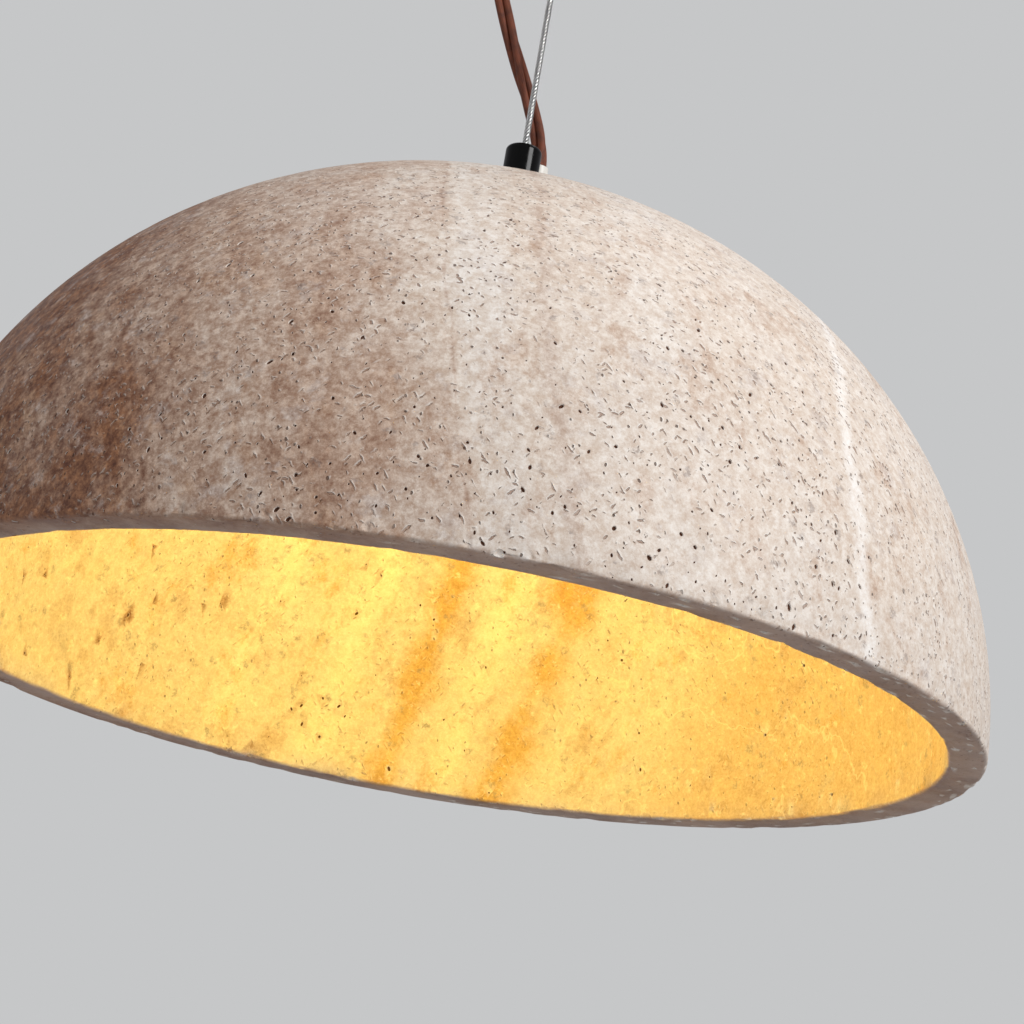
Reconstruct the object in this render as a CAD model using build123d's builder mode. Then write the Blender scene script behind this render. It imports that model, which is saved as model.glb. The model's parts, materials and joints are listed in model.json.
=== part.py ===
from build123d import *
from math import atan2, cos, degrees, pi, radians, sin, sqrt, tan
import os

os.makedirs("parts", exist_ok=True)

# Stone dome lamp that hangs from the ceiling on a wire rope, with its cord beside it.
# The origin is on the ceiling, in the middle of the ceiling plate, and +Z points up.
# +X is to the right of someone who stands in front of the lamp, and -Y is towards them.

# Ceiling plate, with two slots for screws and a hole for the supply cable
plate_r = 50.0
plate_t = 3.0
plate_chamfer = 0.5
slot_spacing = 70.0
slot_width = 5.2
slot_length = 16.0
supply_r = 8.0
supply_bearing = 123.0
supply_edge_gap = 5.0
earth_x = -12.0
earth_y = -30.0

# Nut under the plate that the wire gripper hangs from
hanger_flats = 17.0
hanger_h = 8.0
stud_r = 5.0

# Ceiling cover, held up by a ring nut on the gripper
cover_r = 60.0
cover_h = 30.0
cover_wall = 1.5
cover_edge_r = 5.0
ring_nut_r = 13.0
ring_nut_h = 5.0
ring_nut_chamfer = 0.6
knurl_count = 36
knurl_r = 0.5

# Wire rope and its gripper
rope_r = 1.25
rope_gap = 0.2
gripper_r = 8.0
gripper_below_cover = 14.0
gripper_chamfer = 1.0
chamber_r = 5.0
chamber_top_z = -18.0
cone_angle = 10.0
cone_above_end = 8.0
sleeve_r = 4.0
sleeve_collar_r = 6.0
sleeve_collar_h = 3.0
sleeve_travel = 2.5
sleeve_stop_gap = 0.5
sleeve_mouth_chamfer = 0.5
grip_ball_r = 1.5
grip_ball_count = 3
plunger_r = 4.4
plunger_h = 2.6
spring_wire_r = 0.4
spring_r = 3.4
spring_turns = 5
tail_above_chamber = 4.0

# How far the cap hangs under the gripper's mouth
rope_drop = 98.0

# Cap on the stone that hides the ball at the rope's end
cap_r = 7.0
cap_h = 28.0
cap_edge_r = 1.8
cap_mouth_r = 2.1
stop_ball_r = 2.5
stop_ball_depth = 6.0
stem_r = 4.0
stem_below_nut = 1.0
gasket_t = 0.8

# Stone dome, an ellipse turned about Z, with flat seats for the fittings
shade_r = 200.0
shade_h = 191.0
rim_wall = 14.0
top_wall = 16.0
rim_edge_r = 1.6
seat_depth = 0.3
stem_hole_gap = 0.3
cord_hole_gap = 0.2

# Cord, its bush in the stone and its gland in the cover
cord_r = 3.25
cord_gap = 0.05
cord_x = 6.6
cord_y = 10.0
cord_rise = 4.5
cord_drop = 12.0
bush_shank_r = 4.0
bush_foot_r = 4.6
bush_tip_r = 3.9
bush_below_cap_top = 2.5
gland_x = -28.8
gland_y = 6.0
gland_r = 8.0
gland_body_h = 7.0
gland_nose_h = 7.0
gland_nose_r = 4.6
gland_shank_r = 5.0
gland_shank_above = 7.5
gland_nut_flats = 15.0
gland_nut_h = 4.5
cord_above_shank = 2.5

# Load plate, washers and nut under the stone
inner_gasket_r = 21.0
inner_gasket_t = 1.5
load_plate_r = 20.0
load_plate_t = 3.0
earth_u = -12.5
earth_v = 10.5
inner_seat_gap = 1.0
lock_washer_r = 6.3
lock_washer_t = 1.5
stem_nut_flats = 13.0
stem_nut_h = 6.5

# Bracket that carries the lamp holder
bracket_w = 12.0
bracket_t = 1.5
bracket_half_span = 17.5
bracket_drop = 20.0
bracket_foot = 7.0

# Cord grip under the load plate
grip_r = 5.2
grip_h = 8.0
grip_screw_r = 1.5
cord_below_grip = 3.0

# Lamp holder
holder_r = 21.5
holder_h = 38.0
holder_edge_r = 3.0
holder_roof = 11.0
holder_screw_depth = 6.0
terminal_u = 6.0
terminal_v = 10.5
terminal_hole_depth = 5.0
shell_wall = 0.6
shell_gap = 0.1
shell_h = 25.0
contact_r = 4.0
contact_h = 2.0
contact_gap = 0.05
rivet_r = 1.5

# Bulb with an E27 screw cap
bulb_cap_r = 13.2
bulb_cap_h = 18.0
bulb_thread_gap = 0.1
insulator_h = 3.6
insulator_top_r = 5.4
tip_r = 4.7
tip_h = 1.6
collar_h = 14.0
collar_top_r = 13.9
globe_r = 22.5
globe_wall = 1.2
globe_mouth_r = 19.5

# Screws, wires and terminals
small_screw_r = 1.5
small_head_r = 2.8
small_head_h = 2.0
driver_slot_w = 0.8
driver_slot_depth = 0.9
screw_hole_gap = 0.15
wire_r = 1.0
wire_spread = 2.15
wire_end_run = 3.5
wire_in_block = 2.0
lane_gap = 2.4
lane_from_nut = 4.0
lane_x = -13.5
lane_step_x = 1.5
block_x = 14.0
block_y = 27.0
block_l = 30.0
block_w = 15.0
block_h = 13.0
pole_spacing = 9.0
terminal_bore_r = 1.3

# Height of each level, from the ceiling down
hanger_bottom_z = -plate_t - hanger_h
cover_bottom_z = -cover_h
gripper_bottom_z = cover_bottom_z - gripper_below_cover
collar_top_z = gripper_bottom_z - sleeve_travel - sleeve_stop_gap
mouth_z = collar_top_z - sleeve_collar_h
cap_top_z = mouth_z - rope_drop
cap_base_z = cap_top_z - cap_h
stone_seat_z = cap_base_z - gasket_t
apex_z = stone_seat_z + seat_depth
rim_z = apex_z - shade_h
inner_seat_z = apex_z - top_wall
load_plate_top_z = inner_seat_z - inner_gasket_t
load_plate_bottom_z = load_plate_top_z - load_plate_t
bracket_web_bottom_z = load_plate_bottom_z - bracket_t
washer_bottom_z = bracket_web_bottom_z - lock_washer_t
stem_nut_bottom_z = washer_bottom_z - stem_nut_h
stem_bottom_z = stem_nut_bottom_z - stem_below_nut
bush_top_z = cap_top_z - bush_below_cap_top
bush_bottom_z = load_plate_bottom_z
grip_bottom_z = load_plate_bottom_z - grip_h
cord_end_z = grip_bottom_z - cord_below_grip
holder_top_z = bracket_web_bottom_z - bracket_drop
holder_bottom_z = holder_top_z - holder_h
holder_bore_top_z = holder_top_z - holder_roof
contact_bottom_z = holder_bore_top_z - contact_h
bulb_top_z = contact_bottom_z - contact_gap
insulator_top_z = bulb_top_z - tip_h
bulb_cap_top_z = insulator_top_z - insulator_h
bulb_cap_bottom_z = bulb_cap_top_z - bulb_cap_h
globe_mouth_z = bulb_cap_bottom_z - collar_h
globe_centre_z = globe_mouth_z - sqrt(globe_r**2 - globe_mouth_r**2)
gland_bottom_z = cover_bottom_z - gland_body_h - gland_nose_h
gland_shank_top_z = cover_bottom_z + cover_wall + gland_shank_above
canopy_cord_top_z = gland_shank_top_z + cord_above_shank

# The fittings under the stone stand square to the line from the rope to the cord
cord_offset = sqrt(cord_x**2 + cord_y**2)
cord_bearing = degrees(atan2(cord_y, cord_x))


def fittings_plane(z):
    """A level plane under the stone whose Y axis points from the rope to the cord."""
    turn = radians(cord_bearing - 90)
    return Plane(origin=(0, 0, z), x_dir=(cos(turn), sin(turn), 0), z_dir=(0, 0, 1))


def at_fittings(u, v, z):
    """A point given in the fittings' plane, as a point of the whole lamp."""
    return fittings_plane(z).from_local_coords(Vector(u, v, 0))


def tube_path(points):
    """Straight runs joined by tangent arcs, each as large as its shorter run allows."""
    places = [Vector(*p) for p in points]
    runs = [b - a for a, b in zip(places, places[1:])]
    radii = [
        0.45 * min(a.length, b.length) / tan(radians(a.get_angle(b) / 2))
        for a, b in zip(runs, runs[1:])
    ]
    return places, radii


# Ceiling plate
supply_out = plate_r - supply_edge_gap - supply_r
supply_x = supply_out * cos(radians(supply_bearing))
supply_y = supply_out * sin(radians(supply_bearing))
block_screw_spacing = pole_spacing
screw_hole_r = small_screw_r + screw_hole_gap

with BuildPart() as ceiling_plate:
    with BuildSketch(Plane.XY.offset(-plate_t)):
        Circle(plate_r)
        with GridLocations(slot_spacing, 0, 2, 1):
            SlotOverall(slot_length, slot_width, mode=Mode.SUBTRACT)
        with Locations((supply_x, supply_y)):
            Circle(supply_r, mode=Mode.SUBTRACT)
        with Locations((earth_x, earth_y)):
            Circle(screw_hole_r, mode=Mode.SUBTRACT)
        with Locations((block_x, block_y)):
            with GridLocations(block_screw_spacing, 0, 2, 1):
                Circle(screw_hole_r, mode=Mode.SUBTRACT)
    extrude(amount=plate_t)
    chamfer(ceiling_plate.edges().group_by(Axis.Z)[0].sort_by(SortBy.LENGTH)[-1], plate_chamfer)

# Hanger nut, welded under the plate
with BuildPart() as hanger_nut:
    with BuildSketch(Plane.XY.offset(hanger_bottom_z)):
        RegularPolygon(hanger_flats / 2, 6, major_radius=False)
        Circle(stud_r, mode=Mode.SUBTRACT)
    extrude(amount=hanger_h)

# Wire gripper: three balls wedge between the rope and a cone that narrows downwards
guide_r = sleeve_r + rope_gap / 4
cone_slope = tan(radians(cone_angle))
cone_bottom_z = gripper_bottom_z + cone_above_end
cone_top_z = cone_bottom_z + (chamber_r - guide_r) / cone_slope
ball_gap = 0.05
ball_ring_r = rope_r + grip_ball_r + ball_gap
ball_reach = (grip_ball_r + ball_gap) / cos(radians(cone_angle)) + ball_ring_r
ball_z = cone_bottom_z + (ball_reach - guide_r) / cone_slope
plunger_bottom_z = ball_z + grip_ball_r + ball_gap
plunger_top_z = plunger_bottom_z + plunger_h
rope_bore_r = rope_r + rope_gap
tail_top_z = chamber_top_z + tail_above_chamber
tail_bore_top_z = tail_top_z + rope_gap

with BuildPart() as gripper_barrel:
    with BuildSketch(Plane.XZ):
        with BuildLine():
            Polyline(
                (0, -plate_t),
                (stud_r, -plate_t),
                (stud_r, hanger_bottom_z),
                (gripper_r, hanger_bottom_z),
                (gripper_r, gripper_bottom_z + gripper_chamfer),
                (gripper_r - gripper_chamfer, gripper_bottom_z),
                (guide_r, gripper_bottom_z),
                (guide_r, cone_bottom_z),
                (chamber_r, cone_top_z),
                (chamber_r, chamber_top_z),
                (rope_bore_r, chamber_top_z),
                (rope_bore_r, tail_bore_top_z),
                (0, tail_bore_top_z),
                close=True,
            )
        make_face()
    revolve(axis=Axis.Z)

with BuildPart() as grip_balls:
    with Locations(Plane.XY.offset(ball_z)):
        with PolarLocations(ball_ring_r, grip_ball_count):
            Sphere(grip_ball_r)

with BuildPart() as grip_plunger:
    with BuildSketch(Plane.XY.offset(plunger_bottom_z)):
        Circle(plunger_r)
        Circle(rope_bore_r, mode=Mode.SUBTRACT)
    extrude(amount=plunger_h)

# The spring stands between the plunger and the roof of the chamber
spring_bottom_z = plunger_top_z + spring_wire_r
spring_height = chamber_top_z - plunger_top_z - 2 * spring_wire_r
spring_pitch = spring_height / spring_turns

with BuildPart() as grip_spring:
    with BuildLine():
        Helix(spring_pitch, spring_height, spring_r, center=(0, 0, spring_bottom_z))
    with BuildSketch(Plane(origin=(spring_r, 0, spring_bottom_z), z_dir=(0, 1, 0))):
        Circle(spring_wire_r)
    sweep(is_frenet=True)

sleeve_top_z = ball_z - grip_ball_r - ball_gap

with BuildPart() as release_sleeve:
    with BuildSketch(Plane.XZ):
        with BuildLine():
            Polyline(
                (rope_bore_r, sleeve_top_z),
                (sleeve_r, sleeve_top_z),
                (sleeve_r, collar_top_z),
                (sleeve_collar_r, collar_top_z),
                (sleeve_collar_r, mouth_z),
                (rope_bore_r + sleeve_mouth_chamfer, mouth_z),
                (rope_bore_r, mouth_z + sleeve_mouth_chamfer),
                close=True,
            )
        make_face()
    revolve(axis=Axis.Z)

# The rope's tail stands in the gripper, and its free length turns on a round end at the mouth
with BuildPart() as rope_tail:
    tail_bottom_z = mouth_z + rope_r + ball_gap
    with BuildSketch(Plane.XY.offset(tail_bottom_z)):
        Circle(rope_r)
    extrude(amount=tail_top_z - tail_bottom_z)

stop_ball_z = cap_top_z - stop_ball_depth

with BuildPart() as suspension_rope:
    with BuildSketch(Plane.XZ):
        with BuildLine():
            Line((0, stop_ball_z), (rope_r, stop_ball_z))
            Line((rope_r, stop_ball_z), (rope_r, mouth_z))
            CenterArc((0, mouth_z), rope_r, 0, 90)
            Line((0, mouth_z + rope_r), (0, stop_ball_z))
        make_face()
    revolve(axis=Axis.Z)

with BuildPart() as rope_stop:
    with Locations((0, 0, stop_ball_z)):
        Sphere(stop_ball_r)
    with BuildSketch(Plane.XY.offset(stop_ball_z)):
        Circle(rope_r)
    extrude(amount=stop_ball_r, mode=Mode.SUBTRACT)

# Ceiling cover and its ring nut
with BuildPart() as ceiling_cover:
    with BuildSketch(Plane.XZ) as cover_section:
        with Locations((0, cover_bottom_z)):
            Rectangle(cover_r, cover_h, align=(Align.MIN, Align.MIN))
        fillet(cover_section.vertices().group_by(Axis.Y)[0].sort_by(Axis.X)[-1], cover_edge_r)
        with BuildSketch(Plane.XZ, mode=Mode.PRIVATE) as cover_hollow:
            with Locations((0, cover_bottom_z + cover_wall)):
                Rectangle(cover_r - cover_wall, cover_h - cover_wall, align=(Align.MIN, Align.MIN))
            inner_corner = cover_hollow.vertices().group_by(Axis.Y)[0].sort_by(Axis.X)[-1]
            fillet(inner_corner, cover_edge_r - cover_wall)
        add(cover_hollow.sketch, mode=Mode.SUBTRACT)
    revolve(axis=Axis.Z)
    with BuildSketch(Plane.XY.offset(cover_bottom_z)):
        Circle(gripper_r + rope_gap)
        with Locations((gland_x, gland_y)):
            Circle(gland_shank_r + rope_gap)
    extrude(amount=cover_wall, mode=Mode.SUBTRACT)

with BuildPart() as ring_nut:
    with BuildSketch(Plane.XY.offset(cover_bottom_z - ring_nut_h)):
        Circle(ring_nut_r)
        Circle(gripper_r, mode=Mode.SUBTRACT)
    extrude(amount=ring_nut_h)
    outer_edges = ring_nut.edges().filter_by(GeomType.CIRCLE).group_by(SortBy.RADIUS)[-1]
    chamfer(outer_edges, ring_nut_chamfer)
    with BuildSketch(Plane.XY.offset(cover_bottom_z - ring_nut_h)):
        with PolarLocations(ring_nut_r, knurl_count):
            Circle(knurl_r)
    extrude(amount=ring_nut_h, mode=Mode.SUBTRACT)

# Cord gland in the cover
gland_bore_r = cord_r + cord_gap

with BuildPart() as cord_gland:
    with BuildSketch(Plane.XZ.offset(-gland_y)):
        with BuildLine():
            Polyline(
                (gland_x + gland_bore_r, gland_bottom_z),
                (gland_x + gland_nose_r, gland_bottom_z),
                (gland_x + gland_r, cover_bottom_z - gland_body_h),
                (gland_x + gland_r, cover_bottom_z),
                (gland_x + gland_shank_r, cover_bottom_z),
                (gland_x + gland_shank_r, gland_shank_top_z),
                (gland_x + gland_bore_r, gland_shank_top_z),
                close=True,
            )
        make_face()
    revolve(axis=Axis((gland_x, gland_y, 0), (0, 0, 1)))

with BuildPart() as gland_nut:
    with BuildSketch(Plane.XY.offset(cover_bottom_z + cover_wall)):
        with Locations((gland_x, gland_y)):
            RegularPolygon(gland_nut_flats / 2, 6, major_radius=False)
            Circle(gland_shank_r, mode=Mode.SUBTRACT)
    extrude(amount=gland_nut_h)

# Stretch of cord in the gland, up to where its braid ends
with BuildPart() as canopy_cord:
    with BuildSketch(Plane.XY.offset(gland_bottom_z)):
        with Locations((gland_x, gland_y)):
            Circle(cord_r)
    extrude(amount=canopy_cord_top_z - gland_bottom_z)

# Terminal block under the plate, with a pole for each wire
block_bottom_z = -plate_t - block_h
terminal_z = -plate_t - block_h / 2
pole_places = [(block_x + n * pole_spacing, block_y) for n in (-1, 0, 1)]
block_screw_places = [(block_x + n * block_screw_spacing / 2, block_y) for n in (-1, 1)]
terminal_half_gap = block_w / 4

with BuildPart() as terminal_block:
    with BuildSketch(Plane.XY.offset(block_bottom_z)):
        with Locations((block_x, block_y)):
            Rectangle(block_l, block_w)
    extrude(amount=block_h)
    block_edges = terminal_block.edges().filter_by(Axis.Z)
    fillet(block_edges, wire_r)
    with BuildSketch(Plane.XZ.offset(-block_y)):
        with Locations(*[(x, terminal_z) for x, y in pole_places]):
            Circle(terminal_bore_r)
    extrude(amount=block_w, both=True, mode=Mode.SUBTRACT)
    with BuildSketch(Plane.XY.offset(block_bottom_z)):
        for x, y in pole_places:
            with Locations((x, y - terminal_half_gap), (x, y + terminal_half_gap)):
                Circle(small_screw_r)
    extrude(amount=block_h / 2 - terminal_bore_r, mode=Mode.SUBTRACT)
    with BuildSketch(Plane.XY.offset(block_bottom_z)):
        with Locations(*block_screw_places):
            Circle(screw_hole_r)
    extrude(amount=block_h, mode=Mode.SUBTRACT)
    with BuildSketch(Plane.XY.offset(block_bottom_z)):
        with Locations(*block_screw_places):
            Circle(small_head_r + screw_hole_gap)
    extrude(amount=small_head_h, mode=Mode.SUBTRACT)


def hanging_screws(places, head_z, length, plane_of=Plane.XY.offset):
    """Slotted screws whose heads point down, with the heads' upper faces at head_z."""
    with BuildPart() as screws:
        with BuildSketch(plane_of(head_z)):
            with Locations(*places):
                Circle(small_screw_r)
        extrude(amount=length)
        with BuildSketch(plane_of(head_z - small_head_h)):
            with Locations(*places):
                Circle(small_head_r)
        extrude(amount=small_head_h)
        with BuildSketch(plane_of(head_z - small_head_h)):
            with Locations(*places):
                Rectangle(2 * small_head_r, driver_slot_w)
        extrude(amount=driver_slot_depth, mode=Mode.SUBTRACT)
    return screws.part


def grub_screws(places, bottom_z, length, plane_of=Plane.XY.offset):
    """Headless slotted screws, driven from below."""
    with BuildPart() as screws:
        with BuildSketch(plane_of(bottom_z)):
            with Locations(*places):
                Circle(small_screw_r)
        extrude(amount=length)
        with BuildSketch(plane_of(bottom_z)):
            with Locations(*places):
                Rectangle(2 * small_screw_r, driver_slot_w)
        extrude(amount=driver_slot_depth, mode=Mode.SUBTRACT)
    return screws.part


block_screws = hanging_screws(
    block_screw_places, block_bottom_z + small_head_h, block_h - small_head_h + plate_t
)
clamp_places = [
    (x, y + side * terminal_half_gap) for x, y in pole_places for side in (-1, 1)
]
terminal_grub_l = block_h / 2 - terminal_bore_r - small_head_h / 2
terminal_screws = grub_screws(clamp_places, block_bottom_z + small_head_h / 2, terminal_grub_l)
earth_screw = hanging_screws([(earth_x, earth_y)], -plate_t, plate_t)

# Wires from the cord's braid to the terminal block, side by side
lane_y = hanger_flats / 2 + lane_from_nut
block_face_y = block_y - block_w / 2


def swept_wire(points):
    """A round wire along a path of runs and arcs."""
    places, radii = tube_path(points)
    with BuildPart() as wire:
        with BuildLine():
            FilletPolyline(*places, radius=radii)
        with BuildSketch(Plane(origin=places[0], z_dir=places[1] - places[0])):
            Circle(wire_r)
        sweep()
    return wire.part


lane_bearing = atan2(lane_y + lane_gap - gland_y, lane_x - lane_step_x - gland_x)
canopy_wires = []
for n in (1, 0, -1):
    side = n * wire_spread
    start_x = gland_x - side * sin(lane_bearing)
    start_y = gland_y + side * cos(lane_bearing)
    lane = lane_y + (n + 1) * lane_gap
    pole_x = block_x - n * pole_spacing
    canopy_wires.append(
        swept_wire(
            [
                (start_x, start_y, canopy_cord_top_z),
                (start_x, start_y, terminal_z),
                (lane_x - (n + 1) * lane_step_x, lane, terminal_z),
                (pole_x, lane, terminal_z),
                (pole_x, block_face_y + wire_in_block, terminal_z),
            ]
        )
    )
canopy_wire_live, canopy_wire_earth, canopy_wire_neutral = canopy_wires

# Rope cap: the ball hangs in a round seat, and a hollow stem runs down through the stone
ball_seat_r = stop_ball_r + ball_gap

with BuildPart() as rope_cap:
    with BuildSketch(Plane.XZ) as cap_section:
        with BuildLine():
            Polyline(
                (0, stem_bottom_z),
                (stem_r, stem_bottom_z),
                (stem_r, cap_base_z),
                (cap_r, cap_base_z),
                (cap_r, cap_top_z),
                (0, cap_top_z),
                close=True,
            )
        make_face()
        fillet(cap_section.vertices().group_by(Axis.Y)[-1].sort_by(Axis.X)[-1], cap_edge_r)
    revolve(axis=Axis.Z)
    with BuildSketch(Plane.XY.offset(stem_bottom_z)):
        Circle(ball_seat_r)
    extrude(amount=stop_ball_z - stem_bottom_z, mode=Mode.SUBTRACT)
    with Locations((0, 0, stop_ball_z)):
        Sphere(ball_seat_r, mode=Mode.SUBTRACT)
    with BuildSketch(Plane.XZ):
        with BuildLine():
            Polyline(
                (0, stop_ball_z),
                (rope_bore_r, stop_ball_z),
                (cap_mouth_r, cap_top_z),
                (0, cap_top_z),
                close=True,
            )
        make_face()
    revolve(axis=Axis.Z, mode=Mode.SUBTRACT)

with BuildPart() as cap_gasket:
    with BuildSketch(Plane.XY.offset(stone_seat_z)):
        Circle(cap_r)
        Circle(stem_r, mode=Mode.SUBTRACT)
    extrude(amount=gasket_t)

# Stone dome: a half ellipse outside and a smaller one inside, with a flat rim
inner_rim_r = shade_r - rim_wall
inner_h = shade_h - top_wall
inner_seat_r = inner_gasket_r + inner_seat_gap
cord_hole_r = bush_shank_r + cord_hole_gap

with BuildPart() as stone_shade:
    with BuildSketch(Plane.XZ) as wall_section:
        with BuildLine():
            EllipticalCenterArc((0, rim_z), shade_r, shade_h, 0, arc_size=90)
            Line((0, apex_z), (0, inner_seat_z))
            EllipticalCenterArc((0, rim_z), inner_rim_r, inner_h, 0, arc_size=90)
            Line((inner_rim_r, rim_z), (shade_r, rim_z))
        make_face()
        fillet(wall_section.vertices().group_by(Axis.Y)[0], rim_edge_r)
    revolve(axis=Axis.Z)
    with BuildSketch(Plane.XY.offset(stone_seat_z)):
        Circle(cap_r + stem_hole_gap)
        with Locations((cord_x, cord_y)):
            Circle(bush_foot_r + stem_hole_gap)
    extrude(amount=seat_depth, mode=Mode.SUBTRACT)
    with BuildSketch(Plane.XY.offset(inner_seat_z)):
        Circle(inner_seat_r)
    extrude(amount=-top_wall, mode=Mode.SUBTRACT)
    with BuildSketch(Plane.XY.offset(inner_seat_z)):
        Circle(stem_r + stem_hole_gap)
        with Locations((cord_x, cord_y)):
            Circle(cord_hole_r)
    extrude(amount=top_wall, mode=Mode.SUBTRACT)

# Cord bush, a tapered sleeve that stands on the stone and runs down through it
with BuildPart() as cord_bush:
    with BuildSketch(Plane.XZ.offset(-cord_y)):
        with BuildLine():
            Polyline(
                (cord_x + gland_bore_r, bush_bottom_z),
                (cord_x + bush_shank_r, bush_bottom_z),
                (cord_x + bush_shank_r, stone_seat_z),
                (cord_x + bush_foot_r, stone_seat_z),
                (cord_x + bush_tip_r, bush_top_z),
                (cord_x + gland_bore_r, bush_top_z),
                close=True,
            )
        make_face()
    revolve(axis=Axis((cord_x, cord_y, 0), (0, 0, 1)))

# Discs under the stone, each with a hole for the stem and one for the cord bush
with BuildPart() as inner_gasket:
    with BuildSketch(Plane.XY.offset(load_plate_top_z)):
        Circle(inner_gasket_r)
        Circle(stem_r + stem_hole_gap, mode=Mode.SUBTRACT)
        with Locations((cord_x, cord_y)):
            Circle(bush_shank_r, mode=Mode.SUBTRACT)
    extrude(amount=inner_gasket_t)

with BuildPart() as load_plate:
    with BuildSketch(Plane.XY.offset(load_plate_bottom_z)):
        Circle(load_plate_r)
        Circle(stem_r + stem_hole_gap, mode=Mode.SUBTRACT)
        with Locations((cord_x, cord_y)):
            Circle(bush_shank_r, mode=Mode.SUBTRACT)
    extrude(amount=load_plate_t)
    with BuildSketch(fittings_plane(load_plate_bottom_z)):
        with Locations((earth_u, earth_v)):
            Circle(small_screw_r)
    extrude(amount=load_plate_t, mode=Mode.SUBTRACT)

# Bracket: a web under the load plate, two legs, and feet that carry the holder
foot_u = bracket_half_span - bracket_t - small_head_r - screw_hole_gap
holder_screw_places = [(-foot_u, 0), (foot_u, 0)]

with BuildPart() as holder_bracket:
    with BuildSketch(fittings_plane(bracket_web_bottom_z)):
        Rectangle(2 * bracket_half_span, bracket_w)
    extrude(amount=bracket_t)
    with BuildSketch(fittings_plane(holder_top_z)):
        with Locations((-bracket_half_span, 0)):
            Rectangle(bracket_t, bracket_w, align=(Align.MIN, Align.CENTER))
        with Locations((bracket_half_span, 0)):
            Rectangle(bracket_t, bracket_w, align=(Align.MAX, Align.CENTER))
    extrude(amount=bracket_drop)
    with BuildSketch(fittings_plane(holder_top_z)):
        with Locations((-bracket_half_span, 0)):
            Rectangle(bracket_foot, bracket_w, align=(Align.MIN, Align.CENTER))
        with Locations((bracket_half_span, 0)):
            Rectangle(bracket_foot, bracket_w, align=(Align.MAX, Align.CENTER))
    extrude(amount=bracket_t)
    with BuildSketch(fittings_plane(bracket_web_bottom_z)):
        Circle(stem_r + stem_hole_gap)
    extrude(amount=bracket_t, mode=Mode.SUBTRACT)
    with BuildSketch(fittings_plane(holder_top_z)):
        with Locations(*holder_screw_places):
            Circle(small_screw_r)
    extrude(amount=bracket_t, mode=Mode.SUBTRACT)

with BuildPart() as lock_washer:
    with BuildSketch(Plane.XY.offset(washer_bottom_z)):
        Circle(lock_washer_r)
        Circle(stem_r + stem_hole_gap, mode=Mode.SUBTRACT)
    extrude(amount=lock_washer_t)

with BuildPart() as stem_nut:
    with BuildSketch(fittings_plane(stem_nut_bottom_z)):
        RegularPolygon(stem_nut_flats / 2, 6, major_radius=False)
        Circle(stem_r, mode=Mode.SUBTRACT)
    extrude(amount=stem_nut_h)

# Cord grip: a collar under the load plate with a screw in its side
grip_screw_z = load_plate_bottom_z - grip_h / 2

with BuildPart() as cord_grip:
    with BuildSketch(fittings_plane(grip_bottom_z)):
        with Locations((0, cord_offset)):
            Circle(grip_r)
            Circle(gland_bore_r, mode=Mode.SUBTRACT)
    extrude(amount=grip_h)
    screw_face = at_fittings(0, cord_offset + grip_r, grip_screw_z)
    outwards = screw_face - at_fittings(0, 0, grip_screw_z)
    with BuildSketch(Plane(origin=screw_face, z_dir=outwards)):
        Circle(grip_screw_r)
    extrude(amount=gland_bore_r - grip_r, mode=Mode.SUBTRACT)

with BuildPart() as grip_screw:
    with BuildSketch(Plane(origin=screw_face, z_dir=outwards)):
        Circle(grip_screw_r)
    extrude(amount=gland_bore_r - grip_r)
    with BuildSketch(Plane(origin=screw_face, z_dir=outwards)):
        Circle(small_head_r)
    extrude(amount=small_head_h)
    with BuildSketch(Plane(origin=screw_face, z_dir=outwards).offset(small_head_h)):
        Rectangle(2 * small_head_r, driver_slot_w)
    extrude(amount=-driver_slot_depth, mode=Mode.SUBTRACT)

# Stretch of cord inside the bush and the grip, down to where its braid ends
with BuildPart() as inner_cord:
    with BuildSketch(Plane.XY.offset(cord_end_z)):
        with Locations((cord_x, cord_y)):
            Circle(cord_r)
    extrude(amount=bush_top_z - cord_end_z)

# Lamp holder: a ceramic cup with a brass screw shell and a contact in its roof
shell_inner_r = bulb_cap_r + bulb_thread_gap
shell_outer_r = shell_inner_r + shell_wall
holder_bore_r = shell_outer_r + shell_gap
lamp_terminal_places = [(-terminal_u, terminal_v), (terminal_u, terminal_v)]

with BuildPart() as holder_body:
    with BuildSketch(Plane.XZ) as cup_section:
        with BuildLine():
            Polyline(
                (0, holder_top_z),
                (holder_r, holder_top_z),
                (holder_r, holder_bottom_z),
                (holder_bore_r, holder_bottom_z),
                (holder_bore_r, holder_bore_top_z),
                (0, holder_bore_top_z),
                close=True,
            )
        make_face()
        fillet(cup_section.vertices().group_by(Axis.Y)[-1].sort_by(Axis.X)[-1], holder_edge_r)
    revolve(axis=Axis.Z)
    with BuildSketch(fittings_plane(holder_top_z)):
        with Locations(*holder_screw_places):
            Circle(small_screw_r)
    extrude(amount=-holder_screw_depth, mode=Mode.SUBTRACT)
    with BuildSketch(fittings_plane(holder_top_z)):
        with Locations(*lamp_terminal_places):
            Circle(terminal_bore_r)
    extrude(amount=-terminal_hole_depth, mode=Mode.SUBTRACT)
    with BuildSketch(Plane.XY.offset(holder_bore_top_z)):
        Circle(rivet_r)
    extrude(amount=holder_roof / 2, mode=Mode.SUBTRACT)

with BuildPart() as screw_shell:
    with BuildSketch(Plane.XY.offset(holder_bore_top_z - shell_h)):
        Circle(shell_outer_r)
        Circle(shell_inner_r, mode=Mode.SUBTRACT)
    extrude(amount=shell_h)

with BuildPart() as centre_contact:
    with BuildSketch(Plane.XY.offset(contact_bottom_z)):
        Circle(contact_r)
    extrude(amount=contact_h)
    with BuildSketch(Plane.XY.offset(holder_bore_top_z)):
        Circle(rivet_r)
    extrude(amount=holder_roof / 2)

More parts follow.
